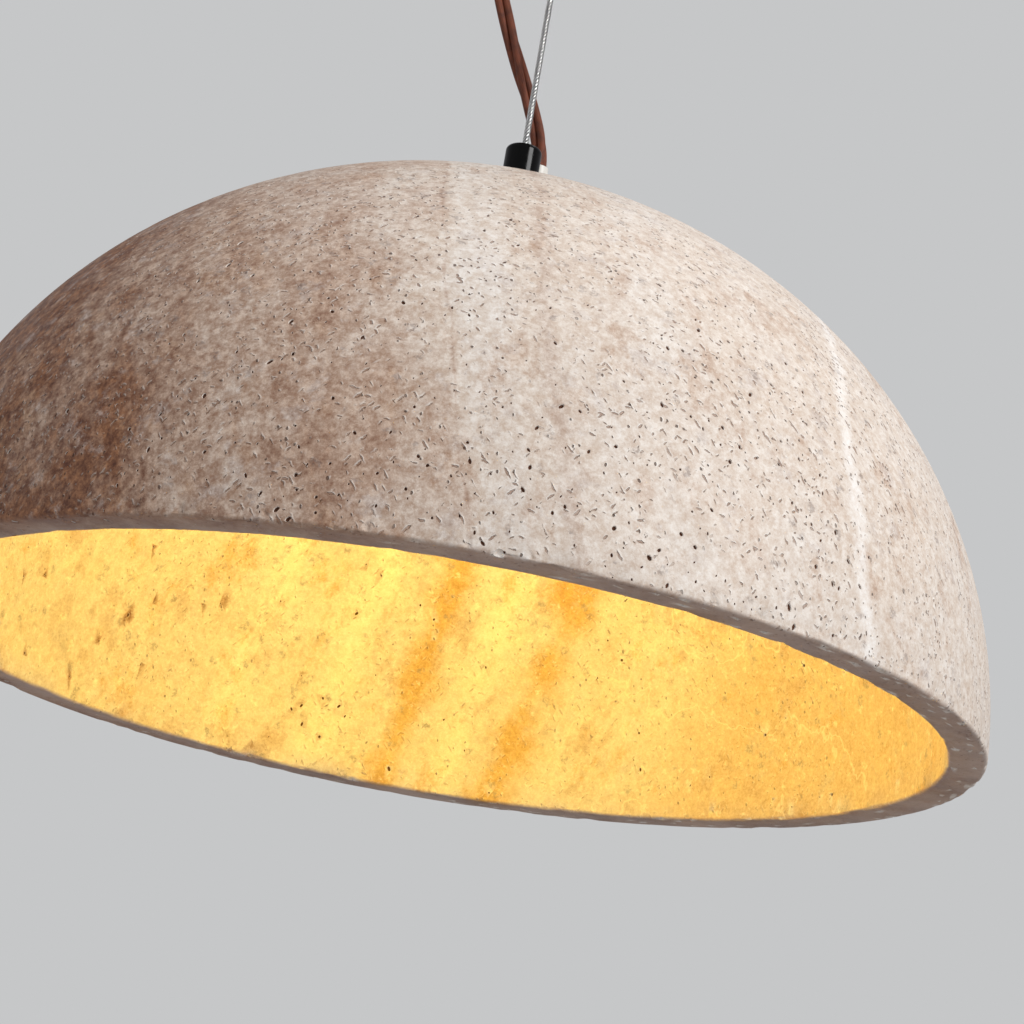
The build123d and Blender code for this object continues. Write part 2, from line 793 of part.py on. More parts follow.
# Screws from the bracket's feet down into the holder, heads on top of the feet
with BuildPart() as holder_screws:
    with BuildSketch(fittings_plane(holder_top_z + bracket_t)):
        with Locations(*holder_screw_places):
            Circle(small_head_r)
    extrude(amount=small_head_h)
    with BuildSketch(fittings_plane(holder_top_z + bracket_t)):
        with Locations(*holder_screw_places):
            Circle(small_screw_r)
    extrude(amount=-bracket_t - holder_screw_depth)
    with BuildSketch(fittings_plane(holder_top_z + bracket_t + small_head_h)):
        with Locations(*holder_screw_places):
            Rectangle(2 * small_head_r, driver_slot_w)
    extrude(amount=-driver_slot_depth, mode=Mode.SUBTRACT)

earth_tag_screw = hanging_screws(
    [(earth_u, earth_v)], load_plate_bottom_z, load_plate_t, fittings_plane
)

# Wires from the cord's braid to the holder and to the earth screw
wire_turn_z = cord_end_z - wire_end_run
lamp_wires = []
for side in (-1, 1):
    lamp_wires.append(
        swept_wire(
            [
                at_fittings(side * wire_spread, cord_offset, cord_end_z),
                at_fittings(side * wire_spread, cord_offset, wire_turn_z),
                at_fittings(side * terminal_u, terminal_v, holder_top_z + wire_end_run),
                at_fittings(side * terminal_u, terminal_v, holder_top_z - wire_in_block),
            ]
        )
    )
lamp_wire_live, lamp_wire_neutral = lamp_wires

earth_head_z = load_plate_bottom_z - small_head_h
lamp_wire_earth = swept_wire(
    [
        at_fittings(0, cord_offset, cord_end_z),
        at_fittings(0, cord_offset, cord_end_z - 4.0),
        at_fittings(0, cord_offset + 4.5, cord_end_z - 6.0),
        at_fittings(-7.0, cord_offset + 5.0, cord_end_z - 3.5),
        at_fittings(earth_u, earth_v + 2.0, cord_end_z + 1.0),
        at_fittings(earth_u, earth_v, earth_head_z - wire_end_run),
        at_fittings(earth_u, earth_v, earth_head_z),
    ]
)

# Bulb: contact tip, glass insulator, screw cap, collar and opal globe
with BuildPart() as bulb_tip:
    with BuildSketch(Plane.XY.offset(bulb_top_z - tip_h)):
        Circle(tip_r)
    extrude(amount=tip_h)
    fillet(bulb_tip.edges().group_by(Axis.Z)[-1], tip_h / 2)

with BuildPart() as bulb_insulator:
    with BuildSketch(Plane.XZ):
        with BuildLine():
            Polyline(
                (0, insulator_top_z),
                (insulator_top_r, insulator_top_z),
                (bulb_cap_r - shell_wall, bulb_cap_top_z),
                (0, bulb_cap_top_z),
                close=True,
            )
        make_face()
    revolve(axis=Axis.Z)

with BuildPart() as bulb_cap:
    with BuildSketch(Plane.XY.offset(bulb_cap_bottom_z)):
        Circle(bulb_cap_r)
    extrude(amount=bulb_cap_h)
    chamfer(bulb_cap.edges().group_by(Axis.Z)[-1], shell_wall)

with BuildPart() as bulb_collar:
    with BuildSketch(Plane.XZ):
        with BuildLine():
            Line((0, bulb_cap_bottom_z), (collar_top_r, bulb_cap_bottom_z))
            Spline(
                (collar_top_r, bulb_cap_bottom_z),
                (globe_mouth_r, globe_mouth_z),
                tangents=[(0, -1), (globe_r - globe_mouth_r, -globe_mouth_r / 4)],
            )
            Line((globe_mouth_r, globe_mouth_z), (0, globe_mouth_z))
            Line((0, globe_mouth_z), (0, bulb_cap_bottom_z))
        make_face()
    revolve(axis=Axis.Z)

globe_inner_r = globe_r - globe_wall

with BuildPart() as bulb_globe:
    with Locations((0, 0, globe_centre_z)):
        Sphere(globe_r)
        Sphere(globe_inner_r, mode=Mode.SUBTRACT)
    with BuildSketch(Plane.XY.offset(globe_mouth_z)):
        Circle(globe_r)
    extrude(amount=globe_r, mode=Mode.SUBTRACT)

# Free stretch of cord, from the bush up to the gland, with hand-picked points between
cord_route = [
    (cord_x, cord_y, bush_top_z),
    (cord_x, cord_y, bush_top_z + cord_rise),
    (5.2, 9.9, -138.7),
    (1.2, 9.6, -129.4),
    (-5.7, 9.0, -114.6),
    (-12.1, 8.2, -99.2),
    (-18.9, 7.4, -83.6),
    (-25.4, 6.6, -68.4),
    (gland_x, gland_y, gland_bottom_z - cord_drop),
    (gland_x, gland_y, gland_bottom_z),
]
cord_places, cord_radii = tube_path(cord_route)

with BuildPart() as textile_cord:
    with BuildLine() as cord_line:
        FilletPolyline(*cord_places, radius=cord_radii)
    with BuildSketch(Plane(origin=cord_places[0], z_dir=(0, 0, 1))):
        Circle(cord_r)
    sweep()

cord_length = cord_line.wire().length
straight_volume = pi * cord_r**2 * cord_length
print("cord radii:", [round(r, 1) for r in cord_radii])
print("cord free length:", round(cord_length, 2))
print("cord volume share:", round(textile_cord.part.volume / straight_volume, 4))

finished = {
    "ceiling_plate": ceiling_plate.part,
    "hanger_nut": hanger_nut.part,
    "gripper_barrel": gripper_barrel.part,
    "grip_balls": grip_balls.part,
    "grip_plunger": grip_plunger.part,
    "grip_spring": grip_spring.part,
    "release_sleeve": release_sleeve.part,
    "rope_tail": rope_tail.part,
    "suspension_rope": suspension_rope.part,
    "rope_stop": rope_stop.part,
    "ceiling_cover": ceiling_cover.part,
    "ring_nut": ring_nut.part,
    "cord_gland": cord_gland.part,
    "gland_nut": gland_nut.part,
    "canopy_cord": canopy_cord.part,
    "terminal_block": terminal_block.part,
    "block_screws": block_screws,
    "terminal_screws": terminal_screws,
    "earth_screw": earth_screw,
    "canopy_wire_live": canopy_wire_live,
    "canopy_wire_earth": canopy_wire_earth,
    "canopy_wire_neutral": canopy_wire_neutral,
    "rope_cap": rope_cap.part,
    "cap_gasket": cap_gasket.part,
    "stone_shade": stone_shade.part,
    "cord_bush": cord_bush.part,
    "inner_gasket": inner_gasket.part,
    "load_plate": load_plate.part,
    "holder_bracket": holder_bracket.part,
    "lock_washer": lock_washer.part,
    "stem_nut": stem_nut.part,
    "cord_grip": cord_grip.part,
    "grip_screw": grip_screw.part,
    "inner_cord": inner_cord.part,
    "holder_body": holder_body.part,
    "screw_shell": screw_shell.part,
    "centre_contact": centre_contact.part,
    "holder_screws": holder_screws.part,
    "earth_tag_screw": earth_tag_screw,
    "lamp_wire_live": lamp_wire_live,
    "lamp_wire_neutral": lamp_wire_neutral,
    "lamp_wire_earth": lamp_wire_earth,
    "bulb_tip": bulb_tip.part,
    "bulb_insulator": bulb_insulator.part,
    "bulb_cap": bulb_cap.part,
    "bulb_collar": bulb_collar.part,
    "bulb_globe": bulb_globe.part,
    "textile_cord": textile_cord.part,
}
for name, piece in finished.items():
    piece.label = name
    export_step(piece, f"parts/{name}.step")
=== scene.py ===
import json
import math

import bpy
from bpy.props import FloatProperty, FloatVectorProperty, IntProperty, PointerProperty
from mathutils import Matrix, Vector


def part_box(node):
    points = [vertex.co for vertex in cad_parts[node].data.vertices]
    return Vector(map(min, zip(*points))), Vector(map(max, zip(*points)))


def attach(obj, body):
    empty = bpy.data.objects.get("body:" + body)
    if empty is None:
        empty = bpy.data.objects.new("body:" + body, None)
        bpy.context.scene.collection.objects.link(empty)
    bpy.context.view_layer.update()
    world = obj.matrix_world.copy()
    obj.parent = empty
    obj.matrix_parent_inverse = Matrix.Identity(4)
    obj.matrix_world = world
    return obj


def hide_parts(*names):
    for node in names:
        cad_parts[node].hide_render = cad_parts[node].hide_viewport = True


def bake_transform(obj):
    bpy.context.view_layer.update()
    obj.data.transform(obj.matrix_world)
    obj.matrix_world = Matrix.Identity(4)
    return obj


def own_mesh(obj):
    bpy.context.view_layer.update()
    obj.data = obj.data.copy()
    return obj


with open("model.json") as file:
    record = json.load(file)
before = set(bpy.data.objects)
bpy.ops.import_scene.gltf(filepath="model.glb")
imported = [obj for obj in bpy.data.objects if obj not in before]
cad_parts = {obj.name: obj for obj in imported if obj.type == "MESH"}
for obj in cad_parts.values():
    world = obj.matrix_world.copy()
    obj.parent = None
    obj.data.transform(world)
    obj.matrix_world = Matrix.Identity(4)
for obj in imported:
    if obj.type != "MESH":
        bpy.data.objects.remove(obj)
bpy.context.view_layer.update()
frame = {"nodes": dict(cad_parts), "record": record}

bl_info = {
    "name": "Stone pendant lamp",
    "version": (1, 0, 0),
    "blender": (4, 5, 0),
    "location": "3D View > Sidebar > Pendant lamp",
    "description": "Finishes a travertine dome pendant around its packed solids",
    "category": "Object",
}

MM = 0.001
WHITE = (1.0, 1.0, 1.0, 1.0)

STONE_LOW, STONE_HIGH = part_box("stone_shade")
ROPE_LOW, ROPE_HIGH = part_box("suspension_rope")
DOME_RISE = 0.191  # from the rim to where the dome would close without the cap's seat

# The cord's route from the bush in the stone up to the gland in the cover
CORD_ROUTE = [
    (0.0066, 0.0100, -0.1505),
    (0.0066, 0.0100, -0.1460),
    (0.0052, 0.0099, -0.1387),
    (0.0012, 0.0096, -0.1294),
    (-0.0057, 0.0090, -0.1146),
    (-0.0121, 0.0082, -0.0992),
    (-0.0189, 0.0074, -0.0836),
    (-0.0254, 0.0066, -0.0684),
    (-0.0288, 0.0060, -0.0560),
    (-0.0288, 0.0060, -0.0440),
]


def srgb(red, green, blue):
    """A colour given as 0 to 255 on screen, as Blender's linear colour."""
    def linear(level):
        part = level / 255
        return part / 12.92 if part <= 0.04045 else ((part + 0.055) / 1.055) ** 2.4
    return (linear(red), linear(green), linear(blue), 1.0)


# ---------------------------------------------------------------- node recipes


class Recipe:
    """Adds nodes to a tree; every method returns the socket that carries its result."""

    def __init__(self, tree):
        self.tree = tree

    def node(self, kind, inputs=None, **settings):
        made = self.tree.nodes.new(kind)
        for name, value in settings.items():
            setattr(made, name, value)
        for key, value in (inputs or {}).items():
            socket = made.inputs[key]
            if isinstance(value, bpy.types.NodeSocket):
                self.tree.links.new(value, socket)
            else:
                socket.default_value = value
        return made

    def math(self, operation, a, b=0.0, c=0.0, clamp=False):
        values = {0: a, 1: b, 2: c}
        made = self.node("ShaderNodeMath", values, operation=operation, use_clamp=clamp)
        return made.outputs[0]

    def vector(self, operation, a, b=(0.0, 0.0, 0.0), scale=None):
        values = {0: a, 1: b}
        if scale is not None:
            values["Scale"] = scale
        made = self.node("ShaderNodeVectorMath", values, operation=operation)
        return made.outputs["Value" if operation in ("LENGTH", "DOT_PRODUCT") else "Vector"]

    def split(self, vector):
        return self.node("ShaderNodeSeparateXYZ", {0: vector}).outputs

    def placed(self, place, scale=(1, 1, 1), turn=(0, 0, 0), shift=(0, 0, 0)):
        made = self.node(
            "ShaderNodeMapping",
            {"Vector": place, "Location": shift, "Rotation": turn, "Scale": scale},
        )
        return made.outputs[0]

    def noise(self, place, scale, detail=3.0, roughness=0.5, colour=False):
        values = {"Vector": place, "Scale": scale, "Detail": detail, "Roughness": roughness}
        made = self.node("ShaderNodeTexNoise", values)
        return made.outputs["Color" if colour else "Fac"]

    def warped(self, place, scale, amount, detail=2.0):
        drift = self.vector("SUBTRACT", self.noise(place, scale, detail, colour=True), (0.5,) * 3)
        return self.vector("ADD", place, self.vector("SCALE", drift, scale=amount))

    def cells(self, place, scale, randomness=1.0):
        values = {"Vector": place, "Scale": scale, "Randomness": randomness}
        made = self.node("ShaderNodeTexVoronoi", values)
        chance = self.node("ShaderNodeSeparateColor", {0: made.outputs["Color"]}).outputs
        return made.outputs["Distance"], chance

    def smooth(self, value, low, high, to_low=0.0, to_high=1.0):
        values = {0: value, 1: low, 2: high, 3: to_low, 4: to_high}
        made = self.node("ShaderNodeMapRange", values, interpolation_type="SMOOTHSTEP")
        return made.outputs[0]

    def mix(self, factor, a, b, blend="MIX"):
        made = self.node(
            "ShaderNodeMix", {0: factor, 6: a, 7: b}, data_type="RGBA", blend_type=blend
        )
        return made.outputs[2]

    def ramp(self, value, stops):
        made = self.node("ShaderNodeValToRGB", {0: value})
        line = made.color_ramp
        while len(line.elements) < len(stops):
            line.elements.new(0.5)
        for element, (place, colour) in zip(line.elements, stops):
            element.position = place
            element.color = colour
        return made.outputs[0]

    def veins(self, place, scale, width, detail=3.0):
        """Thin lines where a noise crosses its middle."""
        level = self.noise(place, scale, detail)
        gap = self.math("ABSOLUTE", self.math("SUBTRACT", level, 0.5))
        return self.smooth(gap, width, 0.0)

    def pits(self, place, scale, radius, keep, softness=0.35):
        """Holes in a random share of a cell pattern, each with its own size."""
        distance, chance = self.cells(place, scale)
        size = self.smooth(chance[0], 1.0 - keep, 1.0, 0.0, radius * scale)
        reach = self.math("SUBTRACT", size, distance)
        return self.math("DIVIDE", reach, radius * scale * softness, clamp=True)


class Finish(Recipe):
    """A material whose colour, roughness and relief are worked out from where a point is."""

    def __init__(self, name):
        self.material = bpy.data.materials.new(name)
        self.material.use_nodes = True
        super().__init__(self.material.node_tree)
        self.shader = self.tree.nodes["Principled BSDF"]

    def place(self):
        return self.node("ShaderNodeTexCoord").outputs["Object"]

    def attribute(self, name, output="Fac"):
        made = self.node("ShaderNodeAttribute", attribute_name=name)
        return made.outputs[output]

    def bump(self, height, depth, strength=1.0, normal=None):
        values = {"Height": height, "Distance": depth, "Strength": strength}
        if normal is not None:
            values["Normal"] = normal
        return self.node("ShaderNodeBump", values).outputs[0]

    def done(self, **values):
        names = {name.replace(" ", "_").lower(): name for name in self.shader.inputs.keys()}
        for key, value in values.items():
            socket = self.shader.inputs[names[key]]
            if isinstance(value, bpy.types.NodeSocket):
                self.tree.links.new(value, socket)
            else:
                socket.default_value = value
        return self.material


# ---------------------------------------------------------------- finishes


def travertine(stone):
    """Honed travertine: upright layers partly in painted shade on the left, small hollows and short strokes darkened
    with painted shade, a painted highlight beside each mark, grey crystals and pale flakes.
    """
    f = Finish("travertine")
    here = f.place()
    x, y, z = f.split(here)
    rise = f.math("SUBTRACT", z, STONE_LOW.z)
    level = f.math("ADD", f.math("MULTIPLY", x, math.cos(stone.layer_turn)),
                   f.math("MULTIPLY", y, math.sin(stone.layer_turn)))
    level = f.math("SUBTRACT", level, f.math("MULTIPLY", f.math("MULTIPLY", y, rise), stone.layer_lean))
    sway = f.math("SUBTRACT", f.noise(here, 11.0, 3.0), 0.5)
    level = f.math("MULTIPLY_ADD", sway, 0.018, level)
    layered = f.node("ShaderNodeCombineXYZ", {0: level, 1: y, 2: z}).outputs[0]

    def line(at, half, edge, breaks=0.0, size=60.0):
        """A layer between two levels, broken up by a noise."""
        away = f.math("ABSOLUTE", f.math("SUBTRACT", level, at))
        ragged = f.math("MULTIPLY", f.math("SUBTRACT", f.noise(here, size, 4.0, 0.6), 0.5), breaks)
        return f.smooth(f.math("ADD", away, ragged), half + edge, half - edge)

    def strewn(size, radius, keep, turn, stretch, shift, crop=None):
        """Short marks of one slant, whose darkening is painted shade, and a shifted pale copy of them: a painted
        highlight on one side.
        """
        marks = []
        for move, swell, soft in (((0.0, 0.0, 0.0), 1.0, 0.35), (shift, 1.25, 0.6)):
            spot = f.vector("ADD", f.vector("ADD", here, ragged), move)
            spot = f.placed(f.placed(spot, turn=turn), scale=(1.0, 1.0, stretch))
            mark = f.pits(spot, size, radius * swell * stone.pit_size, keep, soft)
            marks.append(mark if crop is None else f.math("MULTIPLY", mark, crop))
        return marks

    brown, cream, pale = tuple(stone.brown), tuple(stone.cream), tuple(stone.pale)
    inner = f.attribute("inside")
    outer = f.math("SUBTRACT", 1.0, inner)
    fine = f.noise(f.placed(layered, scale=(1.0, 0.10, 0.14)), 120.0, 5.0, 0.65)
    broad = f.noise(f.placed(layered, scale=(1.0, 0.16, 0.22)), 26.0, 4.0, 0.55)
    cloud = f.noise(f.warped(here, 30.0, 0.02), 34.0, 6.0, 0.66)
    # side runs from the darkest stone on the left to the palest on the right. It is partly the stone's own layers and
    # partly painted shade on the side turned away from the key lamp; the inside is held towards the pale end.
    side = f.math("MAXIMUM", f.smooth(level, -0.19, 0.085), f.math("MULTIPLY", inner, 0.85))
    tone = f.math("MULTIPLY_ADD", side, 0.60, -0.02)
    for part, weight in ((broad, 0.46), (fine, 0.36), (cloud, 0.54)):
        tone = f.math("MULTIPLY_ADD", f.math("SUBTRACT", part, 0.5), weight, tone)
    bands = f.math("MULTIPLY_ADD", line(-0.007, 0.009, 0.004, 0.012, 40.0), 0.20,
                   f.math("MULTIPLY", line(0.1145, 0.0018, 0.0022, 0.003), 0.24))
    tone = f.math("MULTIPLY_ADD", bands, outer, tone)
    colour = f.ramp(tone, [(-0.02, brown), (0.20, srgb(186, 158, 138)), (0.46, cream), (0.80, pale)])
    amber = f.math("MAXIMUM", line(0.005, 0.006, 0.007, 0.030, 45.0), line(0.055, 0.007, 0.008, 0.032, 45.0))
    amber = f.math("MAXIMUM", amber, f.math("MULTIPLY", f.smooth(level, 0.09, 0.14), 0.55))
    colour = f.mix(f.math("MULTIPLY", f.math("MULTIPLY", amber, inner), 0.78), colour, srgb(200, 154, 70))
    streak = f.math("MAXIMUM", line(-0.068, 0.005, 0.005, 0.014, 40.0), line(-0.028, 0.008, 0.007, 0.018, 50.0))
    streak = f.math("MAXIMUM", streak, line(0.031, 0.007, 0.006, 0.016, 40.0))
    colour = f.mix(f.math("MULTIPLY", f.math("MULTIPLY", streak, inner), 0.45), colour, srgb(246, 236, 218))
    blot = f.smooth(f.noise(f.placed(layered, scale=(1.0, 0.6, 0.7), shift=(0.1, 0.3, 0)), 48.0, 6.0, 0.72), 0.54, 0.68)
    colour = f.mix(f.math("MULTIPLY", f.math("MULTIPLY", blot, inner), 0.60), colour, srgb(202, 154, 84))
    fleck = f.smooth(f.noise(here, 210.0, 5.0, 0.7), 0.58, 0.68)
    colour = f.mix(f.math("MULTIPLY", f.math("MULTIPLY", fleck, inner), 0.50), colour, srgb(246, 238, 224))

    tan = f.smooth(f.noise(f.placed(layered, scale=(1.0, 0.5, 0.6), shift=(0.3, 0, 0)), 62.0, 6.0, 0.7), 0.53, 0.66)
    colour = f.mix(f.math("MULTIPLY", tan, 0.42), colour, srgb(176, 138, 108))
    seam = f.math("MAXIMUM", line(-0.0175, 0.0003, 0.0009, 0.005, 90.0),
                  f.math("MULTIPLY", line(0.0132, 0.002, 0.003, 0.016, 120.0), 0.6))
    colour = f.mix(f.math("MULTIPLY", f.math("MULTIPLY", seam, outer), 0.50), colour, srgb(156, 116, 90))
    vein = f.math("MULTIPLY", line(0.1145, 0.0018, 0.0018, 0.003), outer)
    colour = f.mix(f.math("MULTIPLY", vein, 0.65), colour, srgb(242, 234, 226))
    lilac = f.smooth(f.noise(f.placed(here, shift=(0.0, 0.4, 0.2)), 78.0, 6.0, 0.72), 0.54, 0.66)
    colour = f.mix(f.math("MULTIPLY", lilac, 0.40), colour, srgb(192, 180, 174))

    ragged = f.vector("SCALE", f.vector("SUBTRACT", f.noise(here, 420.0, 3.0, 0.6, colour=True), (0.5,) * 3),
                      scale=0.0016)
    distance, chance = f.cells(f.vector("ADD", here, f.vector("SCALE", ragged, scale=2.6)), 190.0)
    crystal = f.math("MULTIPLY", f.smooth(distance, 0.46, 0.22), f.math("GREATER_THAN", chance[1], 0.84))
    crystal = f.math("MULTIPLY", crystal, f.smooth(f.noise(here, 700.0, 3.0, 0.6), 0.40, 0.56))
    colour = f.mix(f.math("MULTIPLY", crystal, 0.55), colour, srgb(150, 138, 132))

    grain = f.noise(here, 950.0, 4.0, 0.75)
    colour = f.mix(0.42, colour, f.ramp(grain, [(0.3, srgb(96, 76, 62)), (0.7, WHITE)]), "SOFT_LIGHT")
    speck = f.ramp(f.noise(f.vector("ADD", here, ragged), 300.0, 5.0, 0.72),
                   [(0.36, srgb(84, 66, 54)), (0.50, srgb(188, 188, 188)), (0.62, WHITE)])
    mottled = f.math("MULTIPLY_ADD", f.math("SUBTRACT", 1.0, side), 0.40, 0.46)
    colour = f.mix(f.math("MULTIPLY_ADD", inner, -0.22, mottled), colour, speck, "SOFT_LIGHT")

    busy = f.smooth(f.noise(f.placed(layered, scale=(1.0, 0.4, 0.4), shift=(0.0, 0.7, 0.0)), 34.0, 4.0), 0.32, 0.52)
    quiet = f.math("MULTIPLY", busy, f.math("MULTIPLY_ADD", inner, -0.55, 1.0))
    # Strokes and dots are small dips in the bump, and their darkening is painted shade. side_a and side_b shift each
    # one's pale copy down and aside, as a painted highlight where light would catch the dip's edge.
    side_a, side_b = (-0.30 * MM, 0.0, -0.26 * MM), (0.30 * MM, 0.0, -0.26 * MM)
    strokes = [
        strewn(500.0, 0.50 * MM, 0.96, (0.0, 0.62, 0.2), 0.24, side_a, quiet),
        strewn(540.0, 0.46 * MM, 0.94, (0.0, -0.70, 0.4), 0.26, side_b, quiet),
        strewn(480.0, 0.50 * MM, 0.84, (0.3, 1.45, 0.0), 0.36, side_a, quiet),
    ]
    dots = strewn(400.0, 0.50 * MM, 0.78, (0.0, 0.15, 0.0), 0.66, side_a, f.math("MULTIPLY_ADD", quiet, 0.75, 0.25))
    bright = f.math("MAXIMUM", dots[1], strokes[0][1])
    for pair in strokes[1:]:
        bright = f.math("MAXIMUM", bright, pair[1])
    worn = f.math("MAXIMUM", f.math("MAXIMUM", strokes[0][0], strokes[1][0]), strokes[2][0])
    # Painted highlight: the pale copies, stronger towards the lit right side.
    colour = f.mix(f.math("MULTIPLY", bright, f.math("MULTIPLY_ADD", side, 0.44, 0.30)), colour,
                   srgb(250, 243, 234))
    # Painted shade: the strokes (worn) and the dots darken as if their small dips were in shadow.
    colour = f.mix(f.math("MULTIPLY", worn, 0.70), colour, srgb(134, 88, 56))
    colour = f.mix(f.math("MULTIPLY", dots[0], 0.80), colour, srgb(92, 58, 38))
    drawn = f.placed(f.placed(f.warped(here, 60.0, 0.012), turn=(0.0, -0.6, 0.0)), scale=(1.0, 1.0, 0.4))
    crack = f.veins(drawn, 24.0, 0.008, 5.0)
    crack = f.math("MULTIPLY", crack, f.math("MULTIPLY", inner, f.smooth(level, 0.05, 0.10)))
    colour = f.mix(f.math("MULTIPLY", crack, 0.55), colour, srgb(244, 232, 216))

    # Painted shade on the downward rim face: it turns a darker mauve-brown, as a face turned away from the lamps looks.
    rim = f.attribute("rim_face")
    rim_painted_shade = f.mix(f.smooth(cloud, 0.35, 0.65), srgb(138, 98, 78), srgb(176, 138, 114))
    colour = f.mix(f.math("MULTIPLY", rim, 0.76), colour, rim_painted_shade)
    # Cut pits: a near-white painted highlight on their upper walls, and painted shade, dark brown, deeper down.
    depth = f.attribute("pit")
    deep_pit_shade = f.smooth(depth, 0.26, 0.50)
    colour = f.mix(f.math("MULTIPLY", f.smooth(depth, 0.0, 0.10), 0.7), colour, srgb(246, 239, 230))
    colour = f.mix(deep_pit_shade, colour, srgb(96, 60, 40))

    relief = f.math("MULTIPLY_ADD", dots[0], -1.0, f.math("MULTIPLY", grain, 0.10))
    relief = f.math("MULTIPLY_ADD", worn, -0.55, relief)
    relief = f.math("MULTIPLY_ADD", bright, 0.12, relief)
    relief = f.math("MULTIPLY_ADD", cloud, 0.45, relief)
    rough = f.smooth(f.noise(here, 60.0, 4.0), 0.3, 0.7, 0.46, 0.62)
    rough = f.math("MULTIPLY_ADD", f.math("MAXIMUM", dots[0], deep_pit_shade), 0.35, rough, clamp=True)
    return f.done(
        base_color=colour, roughness=rough, normal=f.bump(relief, 0.8 * MM, 0.9),
        specular_ior_level=0.42,
    )


def metal(name, colour, dull, shine, grain=700.0, lines=(1.0, 1.0, 0.06), depth=0.004):
    """Worked metal with fine tool lines and a little stain."""
    f = Finish(name)
    here = f.place()
    brushed = f.noise(f.placed(here, scale=lines), grain, 4.0, 0.65)
    smear = f.noise(here, 90.0, 4.0, 0.6)
    darker = tuple(0.78 * part for part in colour[:3]) + (1.0,)
    base = f.mix(f.smooth(smear, 0.35, 0.70), darker, colour)
    rough = f.smooth(f.math("ADD", f.math("MULTIPLY", brushed, 0.6), f.math("MULTIPLY", smear, 0.4)),
                     0.3, 0.7, shine, dull)
    return f.done(base_color=base, metallic=1.0, roughness=rough,
                  normal=f.bump(brushed, depth * MM, 0.5))


def moulded(name, colour, shade, shine, grain=900.0, depth=0.02, coat=0.0, specular=0.5):
    """Plastic, rubber, paint or glaze with a fine skin and slightly uneven colour."""
    f = Finish(name)
    here = f.place()
    skin = f.noise(here, grain, 4.0, 0.6)
    drift = f.noise(here, 60.0, 3.0)
    base = f.mix(f.smooth(drift, 0.3, 0.7), shade, colour)
    dust = f.smooth(f.noise(here, 240.0, 5.0, 0.7), 0.52, 0.75, shine, min(1.0, shine + 0.16))
    return f.done(base_color=base, roughness=dust, specular_ior_level=specular, coat_weight=coat,
                  coat_roughness=0.08, normal=f.bump(skin, depth * MM, 0.6))


def wire_steel(radius):
    """Drawn steel wires, with painted shade, near black, in the gaps between the strands, and the steel's own colour on
    their crowns.
    """
    f = Finish("rope_steel")
    along = f.attribute("along")
    drawn = f.noise(f.vector("MULTIPLY", f.place(), (1, 1, 0.2)), 2400.0, 3.0)
    worn = f.noise(f.node("ShaderNodeCombineXYZ", {0: along}).outputs[0], 160.0, 3.0)
    base = f.mix(f.smooth(worn, 0.35, 0.65), srgb(206, 205, 203), srgb(236, 235, 233))
    # Painted shade: near black towards the rope's axis, in the gaps between strands.
    reach = f.vector("LENGTH", f.vector("MULTIPLY", f.place(), (1, 1, 0)))
    base = f.mix(f.smooth(reach, 0.79 * radius, 0.90 * radius), srgb(10, 10, 10), base)
    return f.done(base_color=base, metallic=1.0, roughness=f.smooth(drawn, 0.3, 0.7, 0.20, 0.36),
                  normal=f.bump(drawn, 0.004 * MM, 0.5))


def braid(name, dark, light):
    """Braided textile: two sets of yarns that cross over and under round each core; the colour goes to painted shade in
    the grooves between yarns and to a painted highlight on their crowns.
    """
    f = Finish(name)
    along = f.attribute("along")
    ring = f.split(f.attribute("round", "Vector"))
    angle = f.math("DIVIDE", f.math("ARCTAN2", ring[1], ring[0]), 2 * math.pi)
    turns = f.math("MULTIPLY", along, 1 / (2.6 * MM))
    yarns = f.math("MULTIPLY", angle, 12.0)
    first = f.math("MULTIPLY_ADD", turns, 3.0, yarns)
    second = f.math("MULTIPLY_ADD", turns, 3.0, f.math("MULTIPLY", yarns, -1.0))
    over = f.math("SINE", f.math("MULTIPLY", f.math("ADD", first, second), math.pi / 2))
    crown_a = f.math("ABSOLUTE", f.math("SINE", f.math("MULTIPLY", first, math.pi)))
    crown_b = f.math("ABSOLUTE", f.math("SINE", f.math("MULTIPLY", second, math.pi)))
    which = f.smooth(over, -0.12, 0.12)
    height = f.math("ADD", f.math("MULTIPLY", crown_a, which),
                    f.math("MULTIPLY", crown_b, f.math("SUBTRACT", 1.0, which)))
    tint = f.noise(f.place(), 320.0, 4.0, 0.6)
    # Painted shade in the weave's grooves, painted highlight on the yarn crowns.
    base = f.mix(f.math("MULTIPLY", height, f.smooth(tint, 0.25, 0.75, 0.35, 1.0)), dark, light)
    fuzz = f.noise(f.place(), 5200.0, 2.0)
    relief = f.math("MULTIPLY_ADD", fuzz, 0.18, height)
    return f.done(base_color=base, roughness=0.62, normal=f.bump(relief, 0.10 * MM, 0.8),
                  sheen_weight=0.15, sheen_roughness=0.35, sheen_tint=srgb(214, 150, 108))


def striped_wire():
    """Earth wire: green with yellow stripes."""
    f = Finish("earth_wire")
    place = f.split(f.place())
    level = f.math("ADD", f.math("ADD", place[0], place[1]), f.math("MULTIPLY", place[2], 0.6))
    stripe = f.smooth(f.math("SINE", f.math("MULTIPLY", level, 2900.0)), -0.15, 0.15)
    base = f.mix(stripe, srgb(40, 118, 52), srgb(222, 196, 40))
    skin = f.noise(f.place(), 900.0, 3.0)
    return f.done(base_color=base, roughness=0.42, normal=f.bump(skin, 0.01 * MM, 0.5))


def lit_glass(bulb):
    """Opal glass with the light behind it."""
    f = Finish("opal_glass")
    milk = f.noise(f.place(), 70.0, 3.0)
    base = f.mix(f.smooth(milk, 0.3, 0.7), srgb(242, 236, 224), srgb(250, 246, 238))
    return f.done(base_color=base, roughness=0.30, coat_weight=0.4,
                  emission_color=tuple(bulb.glow), emission_strength=bulb.strength)


def screw_brass(name, colour, shine):
    return metal(name, colour, shine + 0.18, shine, 500.0, (1.0, 1.0, 0.2))


